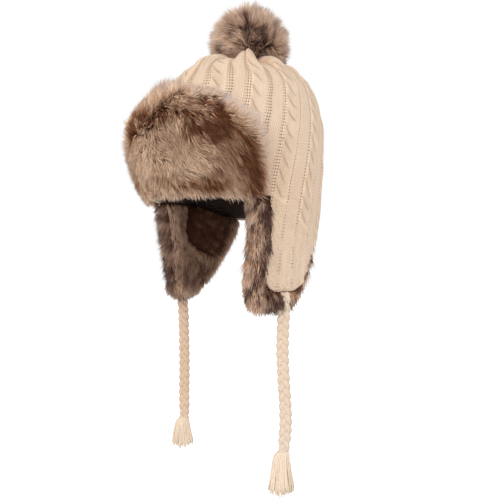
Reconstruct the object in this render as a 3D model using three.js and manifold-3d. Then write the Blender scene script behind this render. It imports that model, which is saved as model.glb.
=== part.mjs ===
// Knit trapper hat: a cable-knit crown gathered under a fur pompom, a turned-up fur front flap,
// fur-lined ear flaps and braided ties with tassels.
// Millimetres, +Z up, the front towards -Y and the wearer's left towards +X.
// The origin is the middle of the head opening, level with the front hem.

import * as THREE from 'three';
import { mergeVertices } from 'three/addons/utils/BufferGeometryUtils.js';
import Module from 'manifold-3d';

const wasm = await Module();
wasm.setup();

// Head form: the knit's outer outline at the hem, and the gap between neighbouring pieces
const HALF_WIDTH = 93;
const HALF_DEPTH = 113;
const NAPE_DROP = 16;
const BACK_HEM = { start: 75, end: 135 };
const HEM_FADE = 60;
const TOP_LEAN = 11;
const LEAN_HEIGHTS = { start: 70, end: 168 };
const GAP = 0.4;

// Knit: repeats of cable, groove, rib and groove round the crown, and the cloth's thickness
const REPEATS = 14;
const FIRST_CABLE = 0.22;
const OVAL_EVENING = 0.0485;
const KNIT = 4.5;

// Plush lining of the crown
const PLUSH = 6;
const PLUSH_COLUMNS = 24;
const PLUSH_RISE = 1.5;

// Fur on the ear flaps. Each side's flap hangs tucked in at its tip, a little longer or shorter, with
// its front edge further forward at the hem and its rear edge further back at the tip, in degrees.
const EAR_FUR = 12;
const EAR_LOCK = 22;
const EAR_LOCK_RADIUS = 8;
const ROLL_TOP = -9;
const ROLL_FOOT = -97;
const ROLL_PROUD = { front: 2, rear: -1 };
const ROLL_GAP = 0.011;
const FLAP_TIP = -102;
const EAR_SIDES = {
  left: { tuck: 0, reach: 1.02, forward: -1, rearward: 2.5 },
  right: { tuck: -5, reach: 0.96, forward: 4, rearward: -3 },
};

// Fur on the turned-up front flap: where it ends at each side, its edge there, its place on the knit
const FRONT_HALF_ANGLE = 62;
const FRONT_EDGE = 3;
const FRONT_SEAT = 0.7;
const FRONT_LOCK_RADIUS = 19;
const FRONT_LOCK_DEPTH = 0.3;
const FRONT_SHORTER = 0.2;
const SEAT_COLUMNS = 44;
const SEAT_FOOT = -40;

// Pompom: its underfur, the reach of its locks, where they root and how far down they start
const POMPOM_CENTRE = new THREE.Vector3(0, 20, 194);
const POMPOM_CORE = 45;
const POMPOM_REACH = 54;
const POMPOM_ROOT = 27;
const POMPOM_LOCKS = 46;
const POMPOM_LOCK_RADIUS = 21;
const POMPOM_LOWEST = -0.3;

// Ties, and the bound heads and strands of their tassels
const TIE_WIDTH = 13;
const TASSEL_HEAD = { length: 10, top: 7.5, bottom: 9.5 };
const TASSEL_STRAND = { count: 8, top: 2.6, bottom: 4.6, ring: 2, stagger: 3 };

// Share of the half width and half depth that the knit's outer outline has at each height
const FORM = [
  { z: -130, scale: 0.945 },
  { z: -60, scale: 0.955 },
  { z: -30, scale: 0.968 },
  { z: 10, scale: 1.0 },
  { z: 50, scale: 1.03 },
  { z: 85, scale: 1.031 },
  { z: 110, scale: 0.984 },
  { z: 130, scale: 0.932 },
  { z: 145, scale: 0.841 },
  { z: 156, scale: 0.73 },
  { z: 164, scale: 0.55 },
  { z: 168, scale: 0.37 },
  { z: 170, scale: 0.2 },
  { z: 170.5, scale: 0.0 },
];

// Rings of the crown from hem to top: the depth of its grooves, and the wall that lies inside them
const CROWN_RINGS = [
  { z: 0, groove: 1.4, wall: 4.5 },
  { z: 50, groove: 2.4, wall: 4.5 },
  { z: 80, groove: 2.4, wall: 4.5 },
  { z: 106, groove: 2.4, wall: 4.6 },
  { z: 128, groove: 2.8, wall: 5 },
  { z: 145, groove: 3.6, wall: 6 },
  { z: 156, groove: 4.8, wall: 7.5 },
  { z: 164, groove: 6, wall: 9 },
  { z: 168, groove: 5, wall: 9.5 },
  { z: 170.5, groove: 0, wall: 9.5 },
];

// One knit repeat, in shares of a repeat: a three-facet cable, a groove, a plain rib and a groove
const REPEAT_COLUMNS = [
  { phase: -0.17, rise: 0.75 },
  { phase: 0.03, rise: 1 },
  { phase: 0.27, rise: 0 },
  { phase: 0.5, rise: 0.7 },
  { phase: 0.73, rise: 0 },
];

// How far the columns have turned towards the back, in degrees at the sides, at each height
const COLUMN_TURN = [
  { z: -110, turn: -16 },
  { z: -20, turn: -10 },
  { z: 20, turn: -7 },
  { z: 60, turn: -3 },
  { z: 100, turn: 0 },
  { z: 128, turn: 0 },
  { z: 150, turn: -5 },
];

// Knit panel of an ear flap: its front and rear edges, in degrees from the front, at each height
const KNIT_FLAP = [
  { z: -102, front: 74, rear: 86 },
  { z: -97, front: 70, rear: 94 },
  { z: -87, front: 68, rear: 102 },
  { z: -72, front: 67.5, rear: 109 },
  { z: -52, front: 67.5, rear: 118 },
  { z: -28, front: 67, rear: 126 },
  { z: 0, front: 66.5, rear: 131 },
];

// Fur backing of an ear flap, inside its tips
const FUR_FLAP = [
  { z: -121, front: 65, rear: 89 },
  { z: -112, front: 58.5, rear: 100 },
  { z: -98, front: 56, rear: 107 },
  { z: -80, front: 55, rear: 113 },
  { z: -55, front: 54.5, rear: 119 },
  { z: -28, front: 53, rear: 125 },
  { z: 0, front: 52, rear: 130 },
];

// Front flap's backing and underfur: how far it stands off the knit, and how much of its width it has
const FRONT_FUR = [
  { z: 1, proud: 4, width: 0.96 },
  { z: 12, proud: 11, width: 0.98 },
  { z: 32, proud: 18, width: 0.96 },
  { z: 56, proud: 23, width: 0.9 },
  { z: 78, proud: 23, width: 0.81 },
  { z: 96, proud: 17, width: 0.68 },
  { z: 108, proud: 8, width: 0.5 },
];

// Routes of the ties, from the tip of each ear flap down to its tassel
const LEFT_TIE = [
  [90, -20.5, -105], [89.7, -20.4, -110.5], [88.2, -20.1, -120], [86.8, -19.8, -132],
  [85.8, -19.6, -145], [85.2, -19.5, -158], [85, -19.4, -171], [85.4, -19.3, -184],
  [86, -19.1, -197], [86.8, -18.9, -210], [87.8, -18.7, -223], [88.4, -18.5, -236],
  [88.5, -18.4, -249], [87.3, -18.3, -261], [86.2, -18.2, -271.5], [86, -18.2, -279],
];
const RIGHT_TIE = [
  [-83.4, -20.5, -99.2], [-83, -20.3, -105.5], [-81.8, -20, -116], [-80.4, -19.8, -130],
  [-79.4, -19.6, -144], [-79, -19.5, -158], [-78.6, -19.4, -171], [-78.4, -19.3, -184],
  [-78.2, -19.2, -197], [-78.2, -19.1, -210], [-78.4, -19, -223], [-78.8, -18.9, -236],
  [-79, -18.8, -249], [-78.9, -18.7, -261], [-78.7, -18.6, -270], [-78.6, -18.6, -276],
];

// Tassels: their length, how wide their strands fan and how far they stand from the tie's middle
const TASSELS = {
  left: { length: 45, fan: 0.27, shift: [-2, -1.5, 0] },
  right: { length: 38, fan: 0.25, shift: [-1, -0.8, 0] },
};

// Rows of locks on the front flap from low to high: their share of its height and which way they lie
const FRONT_LOCKS = [
  { count: 11, t: 0.08, length: 15, up: -1.5 },
  { count: 11, t: 0.25, length: 25, up: -0.7 },
  { count: 11, t: 0.43, length: 28, up: -0.2 },
  { count: 12, t: 0.61, length: 29, up: 0.4 },
  { count: 9, t: 0.79, length: 29, up: 1.1 },
  { count: 8, t: 0.94, length: 23, up: 2.4 },
];

// Rows of locks on an ear flap's fur, from high to low: where they root, from the front edge (0) or
// the rear edge (1), and which way they lie
const EAR_LOCKS = [
  { count: 6, high: -20, low: -100, edge: 0, shift: 4, spread: 1, off: -8, back: -1.1, out: 0.2 },
  { count: 5, high: -26, low: -94, edge: 0, shift: 7, spread: 1, off: -6, back: -0.2, out: 0.5 },
  { count: 5, high: -16, low: -98, edge: 1, shift: -6, spread: -1, off: -14, back: 0.6, out: -0.1 },
  { count: 5, high: -110, low: -111, edge: 0, shift: 6, spread: 30, off: -15, back: 0, out: -0.05 },
];

const UP = new THREE.Vector3(0, 0, 1);
const GOLDEN_ANGLE = Math.PI * (3 - Math.sqrt(5));

/** Smooth value of one column of a table whose rows rise in z, read at a height. */
function readTable(table, column, z) {
  const last = table.length - 1;
  const height = THREE.MathUtils.clamp(z, table[0].z, table[last].z);
  const upper = Math.max(1, table.findIndex((row) => row.z >= height));
  const lower = upper - 1;
  const slopeAt = (index) => {
    const before = table[Math.max(index - 1, 0)];
    const after = table[Math.min(index + 1, last)];
    return (after[column] - before[column]) / (after.z - before.z);
  };
  const span = table[upper].z - table[lower].z;
  const t = (height - table[lower].z) / span;
  const ease = t * t * (3 - 2 * t);
  const levels = table[lower][column] * (1 - ease) + table[upper][column] * ease;
  const slopes = t * (1 - t) * ((1 - t) * slopeAt(lower) - t * slopeAt(upper)) * span;
  return levels + slopes;
}

/** How far the hem lies below the front hem at an angle, all of it at the nape. */
function hemDrop(angle) {
  const degrees = Math.abs(THREE.MathUtils.radToDeg(angle));
  const around = Math.min(degrees, 360 - degrees);
  return NAPE_DROP * THREE.MathUtils.smoothstep(around, BACK_HEM.start, BACK_HEM.end);
}

/** Height on the hat of a nominal height, after the hem's drop to the nape is shared out. */
function settledHeight(angle, z) {
  return z - hemDrop(angle) * Math.max(0, 1 - Math.abs(z) / HEM_FADE);
}

/** Slope of the form at a height: how much its outward normal looks out and how much it looks up. */
function formNormal(z) {
  const top = FORM[FORM.length - 1].z;
  const below = Math.max(z - 2, FORM[0].z);
  const above = Math.min(z + 2, top);
  const reach = (HALF_WIDTH + HALF_DEPTH) / 2;
  const run = (readTable(FORM, 'scale', above) - readTable(FORM, 'scale', below)) * reach;
  const rise = above - below;
  const length = Math.hypot(run, rise);
  return z >= top ? { out: 0, up: 1 } : { out: rise / length, up: -run / length };
}

/** Point of the hat at an angle from the front and a nominal height, moved off the knit's surface. */
function formPoint(angle, z, off) {
  const scale = readTable(FORM, 'scale', z);
  const normal = formNormal(z);
  const reachX = Math.max(HALF_WIDTH * scale + off * normal.out, 0);
  const reachY = Math.max(HALF_DEPTH * scale + off * normal.out, 0);
  const lean = TOP_LEAN * THREE.MathUtils.smoothstep(z, LEAN_HEIGHTS.start, LEAN_HEIGHTS.end);
  return new THREE.Vector3(
    reachX * Math.sin(angle),
    lean - reachY * Math.cos(angle),
    settledHeight(angle, z) + off * normal.up,
  );
}

/** Directions at a point of the form: out of the knit, towards the back and up. */
function formFrame(angle, z) {
  const here = formPoint(angle, z, 0);
  const back = formPoint(angle + 0.01, z, 0).sub(here).normalize();
  const up = formPoint(angle, z + 1, 0).sub(formPoint(angle, z - 1, 0)).normalize();
  const out = new THREE.Vector3().crossVectors(back, up).normalize();
  return { back, up, out };
}

/** Angle of a knit column from its share of the way round, evened out round the oval form. */
function columnAngle(share, z) {
  const even = 2 * Math.PI * share + OVAL_EVENING * Math.sin(4 * Math.PI * share);
  const turn = THREE.MathUtils.degToRad(readTable(COLUMN_TURN, 'turn', z));
  return even + turn * Math.sin(even);
}

/** Geometry with only its positions, its shared vertices merged and its empty triangles left out. */
function closedGeometry(geometry) {
  geometry.deleteAttribute('normal');
  geometry.deleteAttribute('uv');
  const merged = mergeVertices(geometry, 1e-3);
  const index = merged.getIndex().array;
  const kept = [];
  for (let k = 0; k < index.length; k += 3) {
    const [a, b, c] = [index[k], index[k + 1], index[k + 2]];
    if (a !== b && b !== c && c !== a) kept.push(a, b, c);
  }
  merged.setIndex(kept);
  return merged;
}

/** Closed shell of revolution reshaped point by point. place(column, row) gives each vertex. */
function shapedLathe(columns, rows, place) {
  const profile = [];
  for (let row = 0; row < rows; row += 1) {
    const turn = (Math.PI * row) / (rows - 1);
    profile.push(new THREE.Vector2(Math.sin(turn), -Math.cos(turn)));
  }
  const geometry = new THREE.LatheGeometry(profile, columns);
  const positions = geometry.getAttribute('position');
  for (let column = 0; column <= columns; column += 1) {
    for (let row = 0; row < rows; row += 1) {
      const point = place(column % columns, row);
      positions.setXYZ(column * rows + row, point.x, point.y, point.z);
    }
  }
  return closedGeometry(geometry);
}

/** Slab bent point by point. place(s, t, depth) takes shares: front to back, low to high, in to out. */
function bentSlab(acrossSteps, upSteps, place) {
  const geometry = new THREE.BoxGeometry(1, 1, 1, acrossSteps, upSteps, 1);
  const positions = geometry.getAttribute('position');
  for (let k = 0; k < positions.count; k += 1) {
    const point = place(positions.getX(k) + 0.5, positions.getY(k) + 0.5, positions.getZ(k) + 0.5);
    positions.setXYZ(k, point.x, point.y, point.z);
  }
  return closedGeometry(geometry);
}

/** Solid for joining and cutting, made from a closed geometry. */
function toSolid(geometry) {
  return new wasm.Manifold(new wasm.Mesh({
    numProp: 3,
    vertProperties: new Float32Array(geometry.getAttribute('position').array),
    triVerts: new Uint32Array(geometry.getIndex().array),
  }));
}

/** Geometry made from a joined or cut solid. */
function toGeometry(solid) {
  const mesh = solid.getMesh();
  const geometry = new THREE.BufferGeometry();
  geometry.setAttribute('position', new THREE.BufferAttribute(mesh.vertProperties, 3));
  geometry.setIndex(new THREE.BufferAttribute(mesh.triVerts, 1));
  return geometry;
}

/** One solid out of many that meet, with any space closed up inside it filled. */
function fuse(solids) {
  const whole = solids.reduce((sum, solid) => sum.add(solid));
  return whole.decompose().reduce((best, body) => (body.volume() > best.volume() ? body : best));
}

/** Pointed lock of fur whose root lies at a point and whose tip lies a length along a direction. */
function lock(root, direction, length, radius, sides) {
  const geometry = new THREE.ConeGeometry(radius, length, sides, 1);
  geometry.translate(0, length / 2, 0);
  const turn = new THREE.Quaternion().setFromUnitVectors(
    new THREE.Vector3(0, 1, 0),
    direction.clone().normalize(),
  );
  geometry.applyQuaternion(turn);
  geometry.translate(root.x, root.y, root.z);
  return toSolid(closedGeometry(geometry));
}

/** The same piece for the other side of the hat. */
function mirrored(geometry) {
  const twin = geometry.clone();
  twin.scale(-1, 1, 1);
  const index = twin.getIndex().array;
  for (let k = 0; k < index.length; k += 3) {
    [index[k + 1], index[k + 2]] = [index[k + 2], index[k + 1]];
  }
  return twin;
}

/** Crown: the ribbed outside, the hem and the smooth inside as one closed wall. */
function crownGeometry() {
  const rings = CROWN_RINGS.length;
  return shapedLathe(REPEATS * REPEAT_COLUMNS.length, rings * 2, (column, row) => {
    const outside = row >= rings;
    const ring = CROWN_RINGS[outside ? row - rings : rings - 1 - row];
    const rib = REPEAT_COLUMNS[column % REPEAT_COLUMNS.length];
    const repeat = Math.floor(column / REPEAT_COLUMNS.length);
    const angle = columnAngle((repeat + FIRST_CABLE + rib.phase) / REPEATS, ring.z);
    const off = outside ? -ring.groove * (1 - rib.rise) : -ring.wall;
    return formPoint(angle, ring.z, off);
  });
}

/** Plush inside the crown, a thin closed wall that follows it. */
function liningGeometry() {
  const rings = CROWN_RINGS.length;
  return shapedLathe(PLUSH_COLUMNS, rings * 2, (column, row) => {
    const outside = row >= rings;
    const ring = CROWN_RINGS[outside ? row - rings : rings - 1 - row];
    const angle = (2 * Math.PI * column) / PLUSH_COLUMNS;
    return formPoint(angle, Math.max(ring.z, PLUSH_RISE), -ring.wall - GAP - (outside ? 0 : PLUSH));
  });
}

/** Angle of a flap at a height, between its front and rear edges, from a table of them. */
function flapAngle(table, s, z, side) {
  const front = readTable(table, 'front', z) - side.forward * Math.max(0, 1 - z / FLAP_TIP);
  const rear = readTable(table, 'rear', z) + side.rearward * (z / FLAP_TIP);
  return THREE.MathUtils.degToRad(front + (rear - front) * s);
}

/** Point of a flap at an angle and a height, with the way its side hangs. */
function hungPoint(angle, z, off, side) {
  const point = formPoint(angle, z * side.reach, off);
  point.x += side.tuck * (z / FLAP_TIP) ** 2;
  return point;
}

/** Point of a flap from a table of its edges, hung a gap below the crown's hem. */
function flapPoint(table, s, t, off, side) {
  const z = table[0].z * (1 - t);
  const point = hungPoint(flapAngle(table, s, z, side), z, off, side);
  point.z -= GAP * t;
  return point;
}

/** Knit panel of an ear flap, made on the left side. */
function knitFlapGeometry(side) {
  return bentSlab(8, 7, (s, t, depth) => flapPoint(KNIT_FLAP, s, t, KNIT * (depth - 1), side));
}

/** Fur of an ear flap, made on the left side: a backing, a roll in front of the knit, and locks. */
function furFlapGeometry(side) {
  const outer = -KNIT - 2 * GAP;
  const inner = outer - EAR_FUR;
  const backing = bentSlab(6, 7, (s, t, depth) => (
    flapPoint(FUR_FLAP, s, t, depth > 0.5 ? outer : inner, side)
  ));
  const roll = bentSlab(2, 6, (s, t, depth) => {
    const z = THREE.MathUtils.lerp(ROLL_FOOT, ROLL_TOP, t);
    const front = flapAngle(FUR_FLAP, 0, z, side);
    const rear = flapAngle(KNIT_FLAP, 0, z, side) - ROLL_GAP;
    const proud = THREE.MathUtils.lerp(ROLL_PROUD.front, ROLL_PROUD.rear, s);
    return hungPoint(THREE.MathUtils.lerp(front, rear, s), z, depth > 0.5 ? proud : inner, side);
  });
  const solids = [toSolid(backing), toSolid(roll)];
  for (const row of EAR_LOCKS) {
    for (let k = 0; k < row.count; k += 1) {
      const share = k / (row.count - 1);
      const z = THREE.MathUtils.lerp(row.high, row.low, share);
      const edge = flapAngle(FUR_FLAP, row.edge, z, side);
      const angle = edge + THREE.MathUtils.degToRad(row.shift + row.spread * share);
      const frame = formFrame(angle, z);
      const direction = frame.up.clone().multiplyScalar(-1)
        .addScaledVector(frame.back, row.back)
        .addScaledVector(frame.out, row.out);
      const root = hungPoint(angle, z, row.off, side);
      solids.push(lock(root, direction, EAR_LOCK, EAR_LOCK_RADIUS, 4));
    }
  }
  return toGeometry(fuse(solids));
}

/** Solid that holds the knit and all inside it, from below the hem, with a small gap round it. */
function knitEnvelope() {
  const heights = [SEAT_FOOT, ...CROWN_RINGS.map((ring) => ring.z)];
  return toSolid(shapedLathe(SEAT_COLUMNS, heights.length + 1, (column, row) => {
    if (row === 0) return new THREE.Vector3(0, 0, SEAT_FOOT);
    const angle = (2 * Math.PI * (column + 0.5)) / SEAT_COLUMNS;
    return formPoint(angle, heights[row - 1], FRONT_SEAT);
  }));
}

/** Point of the front flap's backing at shares of its way round, up and out. */
function frontPoint(s, t, depth) {
  const first = FRONT_FUR[0].z;
  const z = first + (FRONT_FUR[FRONT_FUR.length - 1].z - first) * t;
  const half = FRONT_HALF_ANGLE * readTable(FRONT_FUR, 'width', z);
  const across = 2 * s - 1;
  const angle = THREE.MathUtils.degToRad(half * across);
  const taper = Math.sqrt(Math.max(0, 1 - across ** 4));
  const proud = FRONT_EDGE + (readTable(FRONT_FUR, 'proud', z) - FRONT_EDGE) * taper;
  return formPoint(angle, z, proud * depth);
}

/** Front flap: a bulging backing of underfur with rows of locks all over it. */
function frontFlapGeometry() {
  const solids = [toSolid(bentSlab(16, 7, frontPoint))];
  for (const row of FRONT_LOCKS) {
    for (let k = 0; k < row.count; k += 1) {
      const s = (k + 0.5) / row.count;
      const root = frontPoint(s, row.t, FRONT_LOCK_DEPTH);
      const angle = Math.atan2(root.x / HALF_WIDTH, -root.y / HALF_DEPTH);
      const frame = formFrame(angle, root.z);
      const direction = frame.out.clone()
        .addScaledVector(frame.up, row.up)
        .addScaledVector(frame.back, 0.9 * (2 * s - 1) ** 3);
      const length = row.length * (1 - FRONT_SHORTER * (2 * s - 1) ** 2) + 2 * Math.sin(5 * k + row.count);
      solids.push(lock(root, direction, length, FRONT_LOCK_RADIUS, 5));
    }
  }
  return toGeometry(fuse([fuse(solids).subtract(knitEnvelope())]));
}

/** Pompom: a ball with locks in even spirals, cut flat where it sits on the crown. */
function pompomGeometry() {
  const seat = FORM[FORM.length - 1].z + GAP;
  const core = new THREE.SphereGeometry(POMPOM_CORE, 14, 10);
  core.rotateX(Math.PI / 2);
  core.translate(POMPOM_CENTRE.x, POMPOM_CENTRE.y, POMPOM_CENTRE.z);
  const solids = [toSolid(closedGeometry(core))];
  for (let k = 0; k < POMPOM_LOCKS; k += 1) {
    const height = 1 - ((1 - POMPOM_LOWEST) * (k + 0.5)) / POMPOM_LOCKS;
    const round = k * GOLDEN_ANGLE;
    const level = Math.sqrt(1 - height * height);
    const direction = new THREE.Vector3(level * Math.cos(round), level * Math.sin(round), height);
    const root = POMPOM_CENTRE.clone().addScaledVector(direction, POMPOM_ROOT);
    solids.push(lock(root, direction, POMPOM_REACH - POMPOM_ROOT, POMPOM_LOCK_RADIUS, 4));
  }
  return toGeometry(fuse([fuse(solids).trimByPlane([0, 0, 1], seat)]));
}

/** Braided tie as a plain tube of its width. */
function tieGeometry(route) {
  const path = new THREE.CatmullRomCurve3(route.map((point) => new THREE.Vector3(...point)));
  const section = new THREE.Shape();
  section.absarc(0, 0, TIE_WIDTH / 2, 0, 2 * Math.PI);
  const tube = new THREE.ExtrudeGeometry(section, { steps: 8, curveSegments: 5, extrudePath: path });
  return closedGeometry(tube);
}

/** Tassel under the end of a tie: a bound head with tapering strands that fan out. */
function tasselGeometry(route, tassel) {
  const middle = new THREE.Vector3(...route[route.length - 1]).add(new THREE.Vector3(...tassel.shift));
  middle.z -= GAP + TASSEL_HEAD.length / 2;
  const head = new THREE.CylinderGeometry(TASSEL_HEAD.top, TASSEL_HEAD.bottom, TASSEL_HEAD.length, 10);
  head.rotateX(Math.PI / 2);
  head.translate(middle.x, middle.y, middle.z);
  const solids = [toSolid(closedGeometry(head))];
  for (let k = 0; k < TASSEL_STRAND.count; k += 1) {
    const round = (2 * Math.PI * k) / TASSEL_STRAND.count;
    const spread = new THREE.Vector3(Math.cos(round), Math.sin(round), 0);
    const length = tassel.length - TASSEL_HEAD.length / 2 - TASSEL_STRAND.stagger * (k % 2);
    const strand = new THREE.CylinderGeometry(TASSEL_STRAND.top, TASSEL_STRAND.bottom, length, 5);
    strand.rotateX(Math.PI / 2);
    strand.translate(0, 0, -length / 2);
    const hang = UP.clone().addScaledVector(spread, -tassel.fan).normalize();
    strand.applyQuaternion(new THREE.Quaternion().setFromUnitVectors(UP, hang));
    const root = middle.clone().addScaledVector(spread, TASSEL_STRAND.ring);
    strand.translate(root.x, root.y, root.z);
    solids.push(toSolid(closedGeometry(strand)));
  }
  return toGeometry(fuse(solids));
}

const KNIT_WOOL = { color: 0xe3cfb2, roughness: 0.95 };
const BROWN_FUR = { color: 0x8a6a50, roughness: 0.9 };
const DARK_PLUSH = { color: 0x3a2c26, roughness: 0.95 };

const group = new THREE.Group();

/** Adds a named piece with its own material. */
function addPiece(name, geometry, finish) {
  const material = new THREE.MeshStandardMaterial({ ...finish, metalness: 0 });
  const mesh = new THREE.Mesh(geometry, material);
  mesh.name = name;
  group.add(mesh);
}

addPiece('crown', crownGeometry(), KNIT_WOOL);
addPiece('crown_lining', liningGeometry(), DARK_PLUSH);
addPiece('left_ear_flap', knitFlapGeometry(EAR_SIDES.left), KNIT_WOOL);
addPiece('right_ear_flap', mirrored(knitFlapGeometry(EAR_SIDES.right)), KNIT_WOOL);
addPiece('left_ear_lining', furFlapGeometry(EAR_SIDES.left), BROWN_FUR);
addPiece('right_ear_lining', mirrored(furFlapGeometry(EAR_SIDES.right)), BROWN_FUR);
addPiece('front_flap', frontFlapGeometry(), BROWN_FUR);
addPiece('pompom', pompomGeometry(), BROWN_FUR);
for (const [side, route] of [['left', LEFT_TIE], ['right', RIGHT_TIE]]) {
  addPiece(`${side}_tie`, tieGeometry(route), KNIT_WOOL);
  addPiece(`${side}_tassel`, tasselGeometry(route, TASSELS[side]), KNIT_WOOL);
}

export default group;
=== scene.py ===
"""Knit trapper hat: the pieces that show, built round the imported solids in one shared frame.

Sizes inside the classes are in millimetres and angles are in degrees from the front towards the
wearer's left, unless a name says otherwise. Meshes are made in metres.
"""

import logging
import math
from dataclasses import dataclass, field, replace
from enum import Enum

import bpy
import numpy as np
from mathutils.kdtree import KDTree
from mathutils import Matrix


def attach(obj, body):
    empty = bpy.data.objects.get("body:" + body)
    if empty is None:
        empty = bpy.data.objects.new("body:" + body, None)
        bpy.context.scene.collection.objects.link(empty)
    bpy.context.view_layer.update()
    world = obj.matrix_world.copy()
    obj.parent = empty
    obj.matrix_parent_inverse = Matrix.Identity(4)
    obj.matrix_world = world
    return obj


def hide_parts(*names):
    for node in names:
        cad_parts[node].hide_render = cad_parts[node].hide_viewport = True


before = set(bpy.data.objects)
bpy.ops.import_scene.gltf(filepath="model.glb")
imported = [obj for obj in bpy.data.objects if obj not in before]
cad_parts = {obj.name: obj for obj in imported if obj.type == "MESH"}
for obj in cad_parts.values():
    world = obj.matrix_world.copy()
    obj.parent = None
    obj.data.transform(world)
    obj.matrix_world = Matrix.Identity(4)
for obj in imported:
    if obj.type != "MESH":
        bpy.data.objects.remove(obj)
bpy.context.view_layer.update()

LOG = logging.getLogger("trapper_hat")
MM = 0.001
BODY = "root"
UP = np.array([0.0, 0.0, 1.0])
MAP_MARGIN = 0.001
POLE_MARGIN = 0.01
ALL_SMOOTH = 180.0
KNIT_CREASE = 75.0
HAIR_POINTS = 7
WHITE = (1.0, 1.0, 1.0, 1.0)
Array = np.ndarray
Span = tuple[float, float]
Colour = tuple[float, float, float, float]
Random = np.random.Generator
Material = bpy.types.Material
Node = bpy.types.Node
NodeTree = bpy.types.NodeTree
Piece = bpy.types.Object
Socket = bpy.types.NodeSocket
Inputs = dict[str | int, object]


class Slot(Enum):
    """Material slots of the record, one named with each piece."""

    KNIT = "knit_wool"
    FUR = "brown_fur"
    PLUSH = "dark_plush"
    BRAID = "braid_wool"


class Side(Enum):
    """Sides of the wearer, with the sign of x there."""

    LEFT = 1.0
    RIGHT = -1.0


def smoothstep(low: float | Array, high: float | Array, value: float | Array) -> Array:
    """Ease from 0 to 1 between two values.

    Args:
        low: Value where the result is 0.
        high: Value where the result is 1.
        value: Values to ease.

    Returns:
        The eased shares.
    """
    t = np.clip((np.asarray(value, dtype=float) - low) / (high - low), 0.0, 1.0)
    return t * t * (3.0 - 2.0 * t)


def window(starts: Span, ends: Span, value: Array) -> Array:
    """Ease from 0 to 1 over the starts, and back to 0 over the ends."""
    return smoothstep(*starts, value) * (1.0 - smoothstep(*ends, value))


def lerp(low: float | Array, high: float | Array, share: float | Array) -> Array:
    """Return the value a share of the way from low to high."""
    return low + (high - low) * share


def bell(value: Array, middle: float | Array, spread: float) -> Array:
    """Return a bell of height one round a middle."""
    return np.exp(-0.5 * ((value - middle) / spread) ** 2)


def signed_angle(angle: Array) -> Array:
    """Return angles in degrees as their equals from -180 to 180."""
    return (np.asarray(angle) + 180.0) % 360.0 - 180.0


def rounded(share: Array) -> Array:
    """Return the height of a quarter circle at shares of the way in from an edge."""
    return np.sqrt(np.clip(1.0 - (1.0 - np.clip(share, 0.0, 1.0)) ** 2, 0.0, 1.0))


def unit(vectors: Array) -> Array:
    """Return the vectors at length one."""
    lengths = np.linalg.norm(vectors, axis=-1, keepdims=True)
    return vectors / np.maximum(lengths, 1e-9)


def linear(red: int, green: int, blue: int) -> Colour:
    """Return the linear colour of a screen colour in steps from 0 to 255."""
    shares = [channel / 255 for channel in (red, green, blue)]
    return (*(s / 12.92 if s <= 0.04045 else ((s + 0.055) / 1.055) ** 2.4 for s in shares), 1.0)


def ripple(points: Array, wavelength: float, seed: int) -> Array:
    """Smooth uneven field over space, mostly between -1 and 1.

    Args:
        points: Points in millimetres, in the last axis.
        wavelength: Typical distance from crest to crest.
        seed: Number that picks the field.

    Returns:
        The field's value at each point.
    """
    rng = np.random.default_rng(seed)
    waves = 18
    directions = unit(rng.normal(size=(waves, 3)))
    stretch = rng.uniform(0.65, 1.6, waves)
    shifts = rng.uniform(0.0, 2.0 * math.pi, waves)
    total = np.zeros(points.shape[:-1])
    for direction, factor, shift in zip(directions, stretch, shifts):
        total += np.sin(points @ direction * (2.0 * math.pi * factor / wavelength) + shift)
    return total / math.sqrt(waves / 2.0) / 1.6


@dataclass(frozen=True)
class Table:
    """Smooth value over rising heights."""

    heights: tuple[float, ...]
    values: tuple[float, ...]

    def at(self, z: float | Array) -> Array:
        """Read the table.

        Args:
            z: Heights to read at, held within the table's own.

        Returns:
            The smooth value at each height.
        """
        heights = np.asarray(self.heights)
        values = np.asarray(self.values)
        last = len(heights) - 1
        order = np.arange(last + 1)
        after = np.minimum(order + 1, last)
        before = np.maximum(order - 1, 0)
        slopes = (values[after] - values[before]) / (heights[after] - heights[before])
        held = np.clip(z, heights[0], heights[-1])
        upper = np.clip(np.searchsorted(heights, held, side="left"), 1, last)
        lower = upper - 1
        span = heights[upper] - heights[lower]
        t = (held - heights[lower]) / span
        ease = t * t * (3.0 - 2.0 * t)
        levels = values[lower] * (1.0 - ease) + values[upper] * ease
        return levels + t * (1.0 - t) * ((1.0 - t) * slopes[lower] - t * slopes[upper]) * span


@dataclass(frozen=True)
class Line:
    """Value that runs straight between rising places."""

    places: tuple[float, ...]
    values: tuple[float, ...]

    def at(self, place: float | Array) -> Array:
        """Return the value at each place, held within the line's own."""
        return np.interp(place, self.places, self.values)


@dataclass
class MeshParts:
    """Faces on points in millimetres, with map places and named values to shade by."""

    points: Array
    quads: Array
    tris: Array
    quad_places: Array
    tri_places: Array
    values: dict[str, Array] = field(default_factory=dict)

    def mirrored(self) -> "MeshParts":
        """Return the same parts for the other side of the hat."""
        return MeshParts(
            self.points * np.array([-1.0, 1.0, 1.0]),
            self.quads[:, ::-1],
            self.tris[:, ::-1],
            self.quad_places[:, ::-1],
            self.tri_places[:, ::-1],
            self.values,
        )

    def held_in(self, low: float, high: float) -> "MeshParts":
        """Return the parts with their map places held in a band of the map."""
        scale, start = (1.0, high - low), (0.0, low)
        return replace(
            self, quad_places=self.quad_places * scale + start,
            tri_places=self.tri_places * scale + start,
        )


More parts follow.
